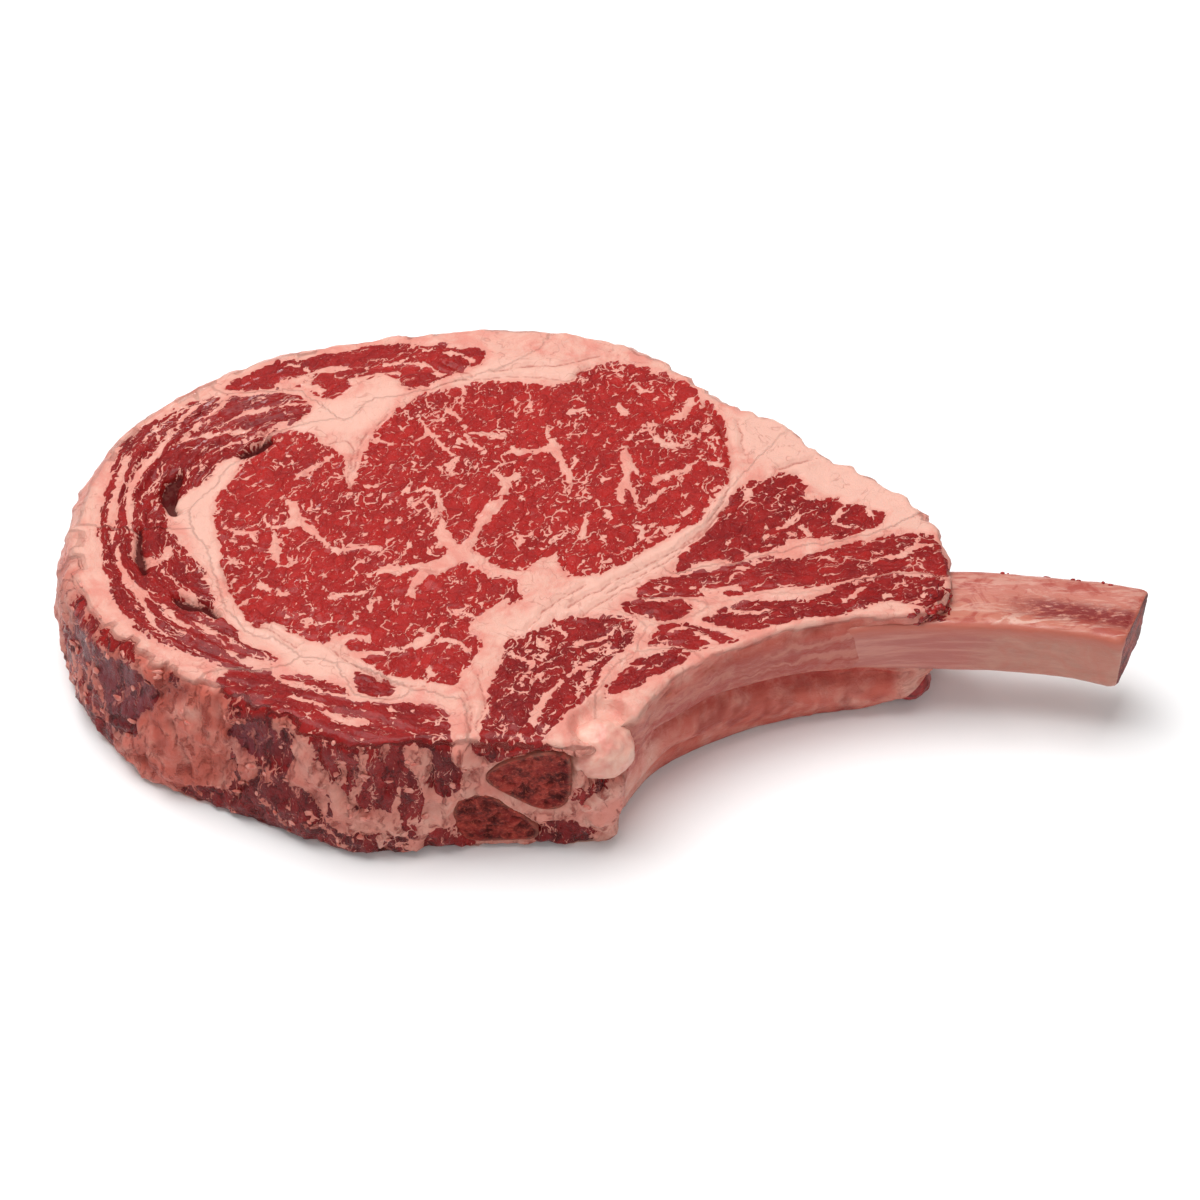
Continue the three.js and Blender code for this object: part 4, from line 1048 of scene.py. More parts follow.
def raw_meat_material(colours):
    """Raw beef, freshly cut across the grain: moist muscle in rounded bundles of 2 to 5 mm,
    with fat round the bundles where it meets a seam, short arcs and flecks of marbling up to
    1 mm wide between them, cream to pink waxy fat with thin blood-stained creases, and
    grey-mauve membrane where the outside shows."""
    material, add = new_material("raw_beef_cut_across_the_grain")
    mm = millimetres(add)
    field = {name: add("ShaderNodeAttribute", out="Fac", attribute_name=name) for name in ("lean",
                                                                                           "tone",
                                                                                           "marbled",
                                                                                           "fold",
                                                                                           "pit",
                                                                                           "hard",
                                                                                           "skin",
                                                                                           "band",
                                                                                           "blood",
                                                                                           "outer",
                                                                                           "deep",
                                                                                           "torn")}
    grain = add("ShaderNodeAttribute", out="Vector", attribute_name="grain")

    # places along the grain, bent at two sizes so that no bundle is straight
    run = grain
    for scale, amount in ((0.2, 5.5), (0.8, 0.9)):
        bend = add("ShaderNodeTexNoise", (mm, scale, 2, 0.55), "Color")
        bend = add("ShaderNodeVectorMath", (bend, (0.5, 0.5, 0.5)), operation="SUBTRACT")
        bend = add("ShaderNodeVectorMath", (bend, amount), operation="SCALE")
        run = add("ShaderNodeVectorMath", (run, bend), operation="ADD")
    crumb = add("ShaderNodeTexNoise", (mm, 2.1, 2, 0.55))
    crumb = add("ShaderNodeMath", (crumb, 0.5), operation="SUBTRACT")

    # fat fills the gaps between bundles, widely near a seam and in broken arcs further in
    sway = add("ShaderNodeMath", (add("ShaderNodeTexNoise", (mm, 0.6, 2, 0.5)), 0.5),
               operation="SUBTRACT")
    lean = add("ShaderNodeMath", (crumb, 0.14, field["lean"]), operation="MULTIPLY_ADD")
    lean = add("ShaderNodeMath", (sway, 1.1, lean), operation="MULTIPLY_ADD")
    cluster = add("ShaderNodeMath", (add("ShaderNodeTexNoise", (mm, 0.08, 2, 0.55)), 0.5),
                  operation="SUBTRACT")
    parts = []
    bundle_edge = bundle_tint = None
    for size, seed, width, low, high, cell in (
            ((0.21, 0.33, 0.3), 0.0, 0.5, 0.46, 0.68, 3.6),
            ((0.34, 0.56, 0.5), 5.7, 0.38, 0.5, 0.68, 2.2)):
        spot = add("ShaderNodeVectorMath", (run, size, (seed, seed, seed)),
                   operation="MULTIPLY_ADD")
        edge = add("ShaderNodeTexVoronoi", (spot, 1.0), feature="DISTANCE_TO_EDGE")
        edge = add("ShaderNodeMath", (edge, cell), operation="MULTIPLY")
        if bundle_edge is None:
            bundle_edge = edge
            bundle_tint = add("ShaderNodeTexVoronoi", (spot, 1.0), "Color", feature="F1")
            split_tint = add("ShaderNodeSeparateColor", (bundle_tint,)).node
            kept = add("ShaderNodeMath", (split_tint.outputs["Green"], 0.42), operation="SUBTRACT")
            lean = add("ShaderNodeMath", (kept, 1.3, lean), operation="MULTIPLY_ADD")
            near_seam = add("ShaderNodeMapRange", (lean, 1.1, -0.3, -0.1, 0.7), **EASED)
        broken = add("ShaderNodeTexNoise", (spot, 0.9, 2, 0.6))
        broken = add("ShaderNodeMath", (cluster, 0.35, broken), operation="MULTIPLY_ADD")
        width = add("ShaderNodeMapRange", (broken, low, high, 0.0, width), **EASED)
        width = add("ShaderNodeMath", (width, field["marbled"]), operation="MULTIPLY")
        width = add("ShaderNodeMath", (crumb, 0.1, width), operation="MULTIPLY_ADD")
        width = add("ShaderNodeMath", (width, 0.1), operation="SUBTRACT")
        if not parts:
            width = add("ShaderNodeMath", (width, near_seam), operation="MAXIMUM")
        over = add("ShaderNodeMath", (width, edge), operation="SUBTRACT")
        parts.append(add("ShaderNodeMapRange", (over, 0.0, 0.15), **EASED))
    solid = add("ShaderNodeMapRange", (lean, 0.1, -0.35), **EASED)
    marbling = add("ShaderNodeMath",
                   (parts[0], add("ShaderNodeMath", (parts[1], 0.9), operation="MULTIPLY")),
                   operation="MAXIMUM")
    fleck_spot = add("ShaderNodeVectorMath", (run, (0.9, 1.7, 1.3)), operation="MULTIPLY")
    fleck = add("ShaderNodeMapRange",
                (add("ShaderNodeTexNoise", (fleck_spot, 1.0, 1, 0.4, 2.0, 0.4)), 0.69, 0.75, 0,
                 0.85), **EASED)
    fleck = add("ShaderNodeMath", (fleck, field["marbled"]), operation="MULTIPLY")
    marbling = add("ShaderNodeMath", (marbling, fleck), operation="MAXIMUM")
    fat = add("ShaderNodeMath", (solid, marbling), operation="MAXIMUM")

    # muscle: tone by muscle and in patches, each bundle a little lighter or darker, fine grain
    patch = add("ShaderNodeTexNoise", (mm, 0.075, 3, 0.55))
    close = add("ShaderNodeTexNoise", (run, 0.5, 4, 0.65))
    tint = split_tint.outputs["Red"]
    tone = add("ShaderNodeMath", (patch, 0.9, field["tone"]), operation="MULTIPLY_ADD")
    tone = add("ShaderNodeMath", (close, 1.1, tone), operation="MULTIPLY_ADD")
    tone = add("ShaderNodeMath", (tint, 0.22, tone), operation="MULTIPLY_ADD")
    tone = add("ShaderNodeMath", (tone, 1.1), operation="SUBTRACT")
    flesh = coated(add, colours.muscle_bright, (tone, colours.muscle_dark))
    flesh.node.clamp_factor = True
    grain_speck = add("ShaderNodeTexNoise", (run, 2.4, 2, 0.6))
    flesh = coated(add, flesh, (add("ShaderNodeMapRange", (grain_speck, 0.6, 0.8, 0, 0.25), **EASED),
                                colours.muscle_film),
                   (add("ShaderNodeMapRange", (bundle_edge, 0.35, 0.0, 0, 0.16), **EASED),
                    colours.split))

    # fat: cream where it is thick, pinker and stained near muscle and in thin streaks
    cloud = add("ShaderNodeTexNoise", (mm, 0.14, 4, 0.6, 2.0, 0.4))
    cream = add("ShaderNodeMapRange", (cloud, 0.36, 0.6), **EASED)
    tallow = coated(add, colours.fat_pink, (cream, colours.fat_pale))
    smear_spot = add("ShaderNodeVectorMath", (run, (0.16, 0.6, 0.3)), operation="MULTIPLY")
    smear = add("ShaderNodeTexNoise", (smear_spot, 1.0, 4, 0.6, 2.0, 0.7))
    tallow = coated(add, tallow, (add("ShaderNodeMapRange", (smear, 0.48, 0.7, 0, 0.5), **EASED),
                                  colours.fat_pink),
                    (add("ShaderNodeMapRange", (field["hard"], -3.0, 1.5), **EASED),
                     colours.fat_hard),
                    (add("ShaderNodeMapRange", (lean, -1.6, 0.2, 0, 0.5), **EASED),
                     colours.fat_pink))
    crease = add("ShaderNodeTexNoise", (mm, 0.17, 2, 0.5, 2.0, 0.8))
    crease = add("ShaderNodeMath", (add("ShaderNodeMath", (crease, 0.5), operation="SUBTRACT"),),
                 operation="ABSOLUTE")
    crease = add("ShaderNodeMapRange", (crease, 0.02, 0.0, 0, 0.32), **EASED)
    where = add("ShaderNodeMapRange", (add("ShaderNodeTexNoise", (mm, 0.13, 2, 0.55)), 0.44, 0.6),
                **EASED)
    crease = add("ShaderNodeMath", (crease, where), operation="MULTIPLY")
    tallow = coated(add, tallow, (crease, colours.fat_crease_and_shade))
    # the side's fat turns darker and more orange in patches: partly its own tone, partly painted
    # shade
    outer = add("ShaderNodeMapRange",
                (add("ShaderNodeTexNoise", (mm, 0.11, 4, 0.6, 2.0, 0.5)), 0.3, 0.6, 0.35, 0.95),
                **EASED)
    tallow = coated(add, tallow,
                    (add("ShaderNodeMath", (field["outer"], outer), operation="MULTIPLY"),
                     colours.fat_outer_and_shade),
                    # painted shade in the dips of the side's fat, from the deep field
                    (add("ShaderNodeMath", (field["deep"], 0.85), operation="MULTIPLY"),
                     colours.fat_crease_and_shade))

    thin = coated(add, flesh, (0.55, colours.fat_pink))
    colour = coated(add, flesh, (add("ShaderNodeMapRange", (fat, 0.02, 0.5), **EASED), thin),
                    (add("ShaderNodeMapRange", (fat, 0.4, 0.95), **EASED), tallow))

    # membrane on the outside, the film over the rib, blood in the groove, splits, and painted shade
    # in the open gaps
    veil = add("ShaderNodeMapRange", (smear, 0.34, 0.64, 0.1, 0.9), **EASED)
    veil = add("ShaderNodeMath", (veil, field["skin"]), operation="MULTIPLY")
    colour = coated(add, colour, (veil, colours.membrane))
    film_spot = add("ShaderNodeVectorMath", (run, (0.12, 0.4, 0.3)), operation="MULTIPLY")
    film_streak = add("ShaderNodeTexNoise", (film_spot, 1.0, 4, 0.55, 2.0, 0.4))
    film_tone = coated(add, colours.rib_film,
                       (add("ShaderNodeMapRange", (film_streak, 0.42, 0.64), **EASED),
                        colours.rib_film_pale),
                       (add("ShaderNodeMapRange", (film_streak, 0.46, 0.32, 0, 0.6), **EASED),
                        colours.blood))
    rib_film = add("ShaderNodeMath",
                   (field["band"],
                    add("ShaderNodeMapRange", (cloud, 0.3, 0.6, 0.75, 0.97), **EASED)),
                   operation="MULTIPLY")
    colour = coated(add, colour, (rib_film, film_tone))
    stain = add("ShaderNodeMath",
                (field["blood"], add("ShaderNodeMapRange",
                                     (add("ShaderNodeTexNoise", (mm, 0.3, 4, 0.65)), 0.3, 0.62),
                                     **EASED)), operation="MULTIPLY")
    colour = coated(add, colour, (stain, colours.blood))
    # blood and painted shade gather in the torn side's crevices, which run with its grain
    tear_spot = add("ShaderNodeVectorMath", (run, (0.42, 0.4, 0.4)), operation="MULTIPLY")
    crevice = add("ShaderNodeTexNoise", (tear_spot, 1.0, 4, 0.55, 2.0, 0.3))
    crevice = add("ShaderNodeMapRange", (crevice, 0.5, 0.3), **EASED)
    crevice = add("ShaderNodeMath", (crevice, field["torn"]), operation="MULTIPLY")
    blood_and_painted_shade = coated(add, colours.split, (fat, colours.fat_crease_and_shade))
    # painted shade and blood in the crevices
    stain = add("ShaderNodeMath", (crevice, 0.85), operation="MULTIPLY")
    colour = coated(add, colour, (stain, blood_and_painted_shade))
    split = add("ShaderNodeMapRange", (field["fold"], 0.55, -0.1, 0, 0.75), **EASED)
    worn = add("ShaderNodeMapRange", (add("ShaderNodeTexNoise", (mm, 0.4, 2, 0.55)), 0.3, 0.5),
               **EASED)
    split = add("ShaderNodeMath", (split, worn), operation="MULTIPLY")
    colour = coated(add, colour, (split, colours.fat_crease_and_shade))
    # painted shade: the open gaps between muscle layers are painted near black inside
    gap = add("ShaderNodeMapRange",
              (add("ShaderNodeMath", (crumb, 1.2, field["pit"]), operation="MULTIPLY_ADD"), 0.8, 0.1,
               0, 0.95), **EASED)
    colour = coated(add, colour, (gap, colours.split))

    # relief finer than the mesh, and moist gloss broken by it
    fibre = add("ShaderNodeTexNoise", (run, 1.5, 4, 0.62))
    bulge = add("ShaderNodeMapRange", (bundle_edge, 0.0, 0.6, 0, 0.55), **EASED)
    flat = add("ShaderNodeMapRange", (fat, 0.3, 0.8, 0, 1), **EASED)
    height = add("ShaderNodeMath", (bulge, add("ShaderNodeMath", (1.0, flat), operation="SUBTRACT")),
                 operation="MULTIPLY")
    height = add("ShaderNodeMath", (flat, 0.7, height), operation="MULTIPLY_ADD")
    height = add("ShaderNodeMath", (fibre, 1.1, height), operation="MULTIPLY_ADD")
    height = add("ShaderNodeMath", (crease, -0.7, height), operation="MULTIPLY_ADD")
    height = add("ShaderNodeMath", (crevice, -2.6, height), operation="MULTIPLY_ADD")
    relief = add("ShaderNodeBump", {"Strength": 0.75, "Distance": 0.38 * MM, "Height": height},
                 "Normal")
    wet = add("ShaderNodeMapRange",
              (add("ShaderNodeTexNoise", (mm, 0.3, 4, 0.6)), 0.36, 0.62, 0.18, 0.46), **EASED)
    dull = add("ShaderNodeMath", (fat, 0.12, wet), operation="MULTIPLY_ADD")
    dull = add("ShaderNodeMath", (gap, 0.5, dull), operation="MULTIPLY_ADD")
    film = add("ShaderNodeMath", (fat, 0.1, 0.02), operation="MULTIPLY_ADD")
    glaze = add("ShaderNodeMath", (fat, -0.04, 0.15), operation="MULTIPLY_ADD")
    glaze = add("ShaderNodeMath", (gap, -0.15, glaze), operation="MULTIPLY_ADD")
    surface = add("ShaderNodeBsdfPrincipled",
                  {"Base Color": colour, "Roughness": dull, "Normal": relief, "IOR": 1.38,
                   "Specular IOR Level": 0.2, "Subsurface Weight": film, "Subsurface Scale": 0.001,
                   "Subsurface Radius": (1.0, 0.35, 0.25), "Coat Weight": glaze,
                   "Coat Roughness": 0.1}, "BSDF")
    add("ShaderNodeOutputMaterial", (surface,))
    return material


# ------------------------------------------------------------------ bones and lumps
def build_rib():
    """The rib as a rounded bar with a scraped, slightly troughed top and a sawn end."""
    line = smooth_line(RIB, False, 1.0)
    ahead = np.gradient(line[:, :2], axis=0)
    ahead /= np.linalg.norm(ahead, axis=1, keepdims=True)
    sides = 88
    angle = np.arange(sides) / sides * 2 * math.pi
    angle = angle - 0.36 * np.sin(4 * angle) / 4
    across = np.sign(np.cos(angle)) * np.abs(np.cos(angle)) ** 0.3
    upward = np.sign(np.sin(angle)) * np.abs(np.sin(angle)) ** 0.3
    rings, shape = [], []
    count = len(line)
    shrink = [1.0] * (count - 2) + [0.985, 0.955, 0.91, 0.84, 0.7, 0.5, 0.27]
    for k, size in enumerate(shrink):
        row = min(k, count - 1)
        x, y, half, low = line[row]
        skew = math.tan(RIB_SAW_ANGLE) * smoothstep(np.float64(row), count - 14, count - 1)
        out, up = half * across * size, (RIB_TOP - low) / 2 * upward * size
        end = 0.35 if k >= count else 0.0
        left = np.array([-ahead[row, 1], ahead[row, 0]])
        plan = np.array([x, y]) + out[:, None] * left + (skew * out + end)[:, None] * ahead[row]
        rings.append(np.column_stack([plan, (RIB_TOP + low) / 2 + up]))
        shape.append(np.column_stack([np.full(sides, row * 1.0), across * size, upward * size,
                                      np.full(sides, size if k >= count else 1.0)]))
    points, shape = np.vstack(rings), np.vstack(shape)
    total = len(rings)
    quads = []
    for ring in range(total - 1):
        a = ring * sides + np.arange(sides)
        b = ring * sides + (np.arange(sides) + 1) % sides
        quads.append(np.stack([a, b, b + sides, a + sides], 1))
    faces = np.vstack(quads).tolist()
    faces.append(list(range(sides))[::-1])
    faces.append(list(range((total - 1) * sides, total * sides)))
    triangles = np.vstack([np.vstack(quads)[:, :3], np.vstack(quads)[:, [0, 2, 3]]])
    normal = point_normals(points, triangles)
    run = np.column_stack([shape[:, 0], points[:, 1], points[:, 2]])
    side_of = shape[:, 1]
    top = smoothstep(shape[:, 2], 0.8, 0.97)
    move = 0.35 * rough(run, (22, 5, 5), 71) + 0.16 * rough(run, (6, 2.2, 2.2), 72)
    move += 0.07 * rough(run, (2, 1, 1), 73)
    move += top * (-0.9 * bell(side_of + 0.3, 0.45) + 0.35 * rough(run, (7, 3, 3), 74))
    move += 0.3 * bell(side_of + 1, 0.12) * smoothstep(shape[:, 2], 0.5, 0.9)
    face = shape[:, 3] < 0.99
    move = np.where(face, 0.35 * rough(points, 1.6, 75), move - 0.25)
    points = points + normal * move[:, None]
    points[:, 2] = np.minimum(points[:, 2], RIB_TOP + 0.3)
    piece = mesh_piece("scraped_rib", points, faces)
    store(piece, "run", shape[:, 0] / (count - 1))
    store(piece, "across", side_of)
    store(piece, "upward", shape[:, 2])
    back_edge = bell(side_of - 0.92, 0.1) * smoothstep(shape[:, 2], 0.5, 0.8)
    outside = smoothstep(points[:, 0], 88, 94) * (shape[:, 3] > 0.99)
    store(piece, "clots", back_edge * outside)
    at_neck = bell(points[:, 0] - 86.5, 3.2) * top * smoothstep(side_of, 0.6, -0.4)
    store(piece, "shreds", at_neck)
    store(piece, "rim", (1 - shape[:, 3]) * 10)
    store(piece, "pore", rough(points, 1.7, 76))
    marks = np.array([face[list(loop)].all() for loop in faces])
    piece.data.polygons.foreach_set("material_index", marks.astype(np.int32))
    return piece


def build_chine(name, outline, seed):
    """One sawn chine face: a rim of hard bone round a spongy middle with open pores."""
    edge = smooth_line(outline, True, 0.8)
    inner, cut = fill_face(edge, 0.62)
    flat = np.vstack([edge, inner])
    gap, _, _ = nearest(flat, edge, True)
    spot = np.column_stack([flat, flat[:, 0] * 0])
    pore = rough(spot, 1.7, seed, 3)
    depth = 0.35 * rough(spot, 7, seed + 4) + smoothstep(gap, 0.6, 1.8) * (
        -0.25 - 0.9 * smoothstep(pore, 0.1, 0.5) + 0.3 * smoothstep(-pore, 0.1, 0.5))
    count, total = len(edge), len(flat)
    front = np.column_stack([flat[:, 0], CHINE_FRONT - 0.1 - depth * 0.8, flat[:, 1]])
    points, sides = [front], []
    backs = 5
    for k in range(1, backs + 1):
        row = np.column_stack([edge[:, 0], np.full(count, CHINE_FRONT + CHINE_DEPTH * k / backs),
                               edge[:, 1]])
        points.append(row)
    points = np.vstack(points)
    for k in range(backs):
        first = 0 if k == 0 else total + (k - 1) * count
        second = total + k * count
        a, b = np.arange(count), (np.arange(count) + 1) % count
        sides.append(np.stack([first + a, second + a, second + b, first + b], 1))
    turned = cut if points_turn(front, cut) else cut[:, ::-1]
    faces = turned.tolist() + np.vstack(sides).tolist()
    faces.append(list(range(total + (backs - 1) * count, total + backs * count)))
    piece = mesh_piece(name + "_piece", points, faces)
    recalculate(piece)
    rest = np.zeros(len(points) - total)
    store(piece, "rim", np.concatenate([gap, rest]))
    store(piece, "pore", np.concatenate([pore, rest]))
    return piece


def points_turn(points, cut):
    """Whether the first triangle looks to the front."""
    a, b, c = points[cut[0]]
    return np.cross(b - a, c - a)[1] < 0


def recalculate(piece):
    """Turns the piece's faces outwards."""
    mesh = bmesh.new()
    mesh.from_mesh(piece.data)
    bmesh.ops.recalc_face_normals(mesh, faces=mesh.faces)
    mesh.to_mesh(piece.data)
    mesh.free()


def build_lump(name, centre, half, amount, seed, detail=5):
    """A rounded lump of the given half sizes with folds and dents."""
    mesh = bmesh.new()
    bmesh.ops.create_icosphere(mesh, subdivisions=detail, radius=1)
    ball = np.array([v.co for v in mesh.verts])
    faces = [[v.index for v in f.verts] for f in mesh.faces]
    mesh.free()
    points = ball * np.array(half) + np.array(centre)
    move = amount * (rough(points, 6, seed) + 0.4 * rough(points, 2.2, seed + 1)
                     + 0.12 * rough(points, 0.9, seed + 2))
    points += ball * move[:, None]
    points[:, 2] = np.maximum(points[:, 2], 0)
    return mesh_piece(name, points, faces)


def scraped_bone_material(colours):
    """Fresh rib bone scraped of its meat: pale pink and beige under a thin wet film, blood
    stains along the top, brown-red marrow near the sawn end. Scrape marks run along it, less
    than 1 mm apart."""
    material, add = new_material("fresh_scraped_rib_bone")
    mm = millimetres(add)
    field = {name: add("ShaderNodeAttribute", out="Fac", attribute_name=name) for name in ("run",
                                                                                           "across",
                                                                                           "upward")}
    along = add("ShaderNodeVectorMath", (mm, (0.12, 0.4, 0.4)), operation="MULTIPLY")
    patch = add("ShaderNodeTexNoise", (along, 0.9, 5, 0.6, 2.0, 0.6))
    fine = add("ShaderNodeTexNoise", (along, 4.0, 4, 0.6))
    stain = add("ShaderNodeTexNoise", (mm, 0.13, 4, 0.62, 2.0, 1.2))

    top = add("ShaderNodeMapRange", (field["upward"], 0.86, 0.98), **EASED)
    blush = add("ShaderNodeMapRange", (stain, 0.42, 0.66))
    side_colour = coated(add, colours.bone_side, (patch, colours.bone_pale))
    side_blush = add("ShaderNodeMath", (blush, 0.5), operation="MULTIPLY")
    side_colour = coated(add, side_colour, (side_blush, colours.bone_blush))
    film = add("ShaderNodeMath", (patch, 0.3, field["run"]), operation="MULTIPLY_ADD")
    film = add("ShaderNodeMapRange", (film, 0.98, 0.8, 0, 0.85), **EASED)
    streak_spot = add("ShaderNodeVectorMath", (mm, (0.04, 0.12, 0.4)), operation="MULTIPLY")
    streak = add("ShaderNodeTexNoise", (streak_spot, 1.0, 4, 0.55, 2.0, 0.4))
    streak = add("ShaderNodeMapRange", (streak, 0.42, 0.64), **EASED)
    film_tone = coated(add, colours.rib_film, (streak, colours.rib_film_pale))
    side_colour = coated(add, side_colour, (film, film_tone))
    ridge = add("ShaderNodeMapRange", (field["upward"], 0.35, 0.8, 0, 0.8), **EASED)
    side_colour = coated(add, side_colour, (ridge, colours.bone_blush))
    top_colour = coated(add, colours.bone_blush, (patch, colours.bone_pale))
    back = add("ShaderNodeMapRange", (field["across"], -0.2, 0.5, 0, 0.7), **EASED)
    top_colour = coated(add, top_colour, (back, colours.bone_pink))
    bloody = add("ShaderNodeMapRange", (stain, 0.5, 0.62, 0, 0.75))
    top_colour = coated(add, top_colour, (bloody, colours.bone_stain))
    web_spot = add("ShaderNodeVectorMath", (mm, (0.07, 0.3, 0.3)), operation="MULTIPLY")
    web = add("ShaderNodeTexNoise", (web_spot, 1.0, 4, 0.62, 2.0, 1.4))
    web = add("ShaderNodeMapRange", (web, 0.49, 0.6, 0, 0.8), **EASED)
    near_edge = add("ShaderNodeMapRange", (field["across"], -0.3, -0.75, 0.45, 1.0), **EASED)
    web = add("ShaderNodeMath", (web, near_edge), operation="MULTIPLY")
    top_colour = coated(add, top_colour, (web, colours.bone_web))
    colour = coated(add, side_colour, (top, top_colour))

    # marrow that shows through near the end, in the trough of the top
    middle = add("ShaderNodeMapRange", (field["across"], -0.75, -0.35), **EASED)
    other = add("ShaderNodeMapRange", (field["across"], 0.25, -0.1), **EASED)
    late = add("ShaderNodeMapRange", (field["run"], 0.73, 0.86, 0, 0.97), **EASED)
    marrow = add("ShaderNodeMath", (middle, other), operation="MULTIPLY")
    marrow = add("ShaderNodeMath", (marrow, late), operation="MULTIPLY")
    marrow = add("ShaderNodeMath", (marrow, top), operation="MULTIPLY")
    speck = add("ShaderNodeMapRange", (fine, 0.3, 0.5))
    marrow = add("ShaderNodeMath", (marrow, speck), operation="MULTIPLY")
    colour = coated(add, colour, (marrow, colours.marrow))
    dull = add("ShaderNodeMath", (fine, 0.35, 0.2), operation="MULTIPLY_ADD")
    relief = add("ShaderNodeBump", {"Strength": 0.5, "Distance": 0.3 * MM, "Height": fine},
                 "Normal")
    surface = add("ShaderNodeBsdfPrincipled",
                  {"Base Color": colour, "Roughness": dull, "Normal": relief, "IOR": 1.45,
                   "Subsurface Weight": 0.1, "Subsurface Scale": 0.001,
                   "Subsurface Radius": (1.0, 0.4, 0.3), "Coat Weight": 0.12, "Coat Roughness": 0.2},
                  "BSDF")
    add("ShaderNodeOutputMaterial", (surface,))
    return material


def spongy_bone_material(colours):
    """Sawn spongy bone: brown-red marrow in open pores 1 to 2 mm wide, pale splinters of the
    bone's own lattice, and a thin, slightly paler rim of hard bone."""
    material, add = new_material("sawn_spongy_bone_with_marrow")
    mm = millimetres(add)
    rim = add("ShaderNodeAttribute", out="Fac", attribute_name="rim")
    pore = add("ShaderNodeAttribute", out="Fac", attribute_name="pore")
    patch = add("ShaderNodeTexNoise", (mm, 0.16, 3))
    fine = add("ShaderNodeTexNoise", (mm, 1.1, 4, 0.7))
    tone = add("ShaderNodeMath", (fine, 0.8, patch), operation="MULTIPLY_ADD")
    tone = add("ShaderNodeMapRange", (tone, 0.75, 1.05))
    colour = coated(add, colours.marrow_dark, (tone, colours.spongy))
    bloody = add("ShaderNodeTexNoise", (mm, 0.24, 2))
    bloody = add("ShaderNodeMapRange", (bloody, 0.52, 0.66, 0, 0.8))
    colour = coated(add, colour, (bloody, colours.marrow))
    deep = add("ShaderNodeMapRange", (pore, 0.2, 0.5, 0, 0.8))
    colour = coated(add, colour, (deep, colours.marrow_dark))
    lattice = add("ShaderNodeTexVoronoi", (mm, 0.75), feature="DISTANCE_TO_EDGE")
    lattice = add("ShaderNodeMapRange", (lattice, 0.07, 0.0))
    broken = add("ShaderNodeMapRange", (fine, 0.5, 0.62, 0, 0.85))
    lattice = add("ShaderNodeMath", (lattice, broken), operation="MULTIPLY")
    colour = coated(add, colour, (lattice, colours.bone_blush))
    ragged = add("ShaderNodeMath", (fine, 1.2, rim), operation="MULTIPLY_ADD")
    ragged = add("ShaderNodeMath", (patch, 2.4, ragged), operation="MULTIPLY_ADD")
    ragged = add("ShaderNodeMath", (ragged, -0.9), operation="ADD")
    hard = add("ShaderNodeMapRange", (ragged, 1.8, 0.7, 0, 0.3), **EASED)
    colour = coated(add, colour, (hard, colours.bone_pale))
    relief = add("ShaderNodeBump", {"Strength": 0.8, "Distance": 0.5 * MM, "Height": fine},
                 "Normal")
    surface = add("ShaderNodeBsdfPrincipled",
                  {"Base Color": colour, "Roughness": 0.5, "Normal": relief, "IOR": 1.42,
                   "Specular IOR Level": 0.12, "Coat Weight": 0.03, "Coat Roughness": 0.25}, "BSDF")
    add("ShaderNodeOutputMaterial", (surface,))
    return material


def lump_material(name, low, high, scale, gloss):
    """One soft tissue, such as gristle, fat or a shred of muscle: cloudy patches in two tones,
    several millimetres wide, under a moist gloss."""
    material, add = new_material(name)
    mm = millimetres(add)
    patch = add("ShaderNodeTexNoise", (mm, scale, 5, 0.6, 2.0, 0.5))
    share = add("ShaderNodeMapRange", (patch, 0.35, 0.62))
    colour = coated(add, low, (share, high))
    fine = add("ShaderNodeTexNoise", (mm, 1.2, 4))
    relief = add("ShaderNodeBump", {"Strength": 0.4, "Distance": 0.3 * MM, "Height": fine},
                 "Normal")
    surface = add("ShaderNodeBsdfPrincipled",
                  {"Base Color": colour, "Roughness": gloss, "Normal": relief, "IOR": 1.4,
                   "Subsurface Weight": 0.12, "Subsurface Scale": 0.0012,
                   "Subsurface Radius": (1.0, 0.35, 0.25), "Coat Weight": 0.12,
                   "Coat Roughness": 0.18}, "BSDF")
    add("ShaderNodeOutputMaterial", (surface,))
    return material


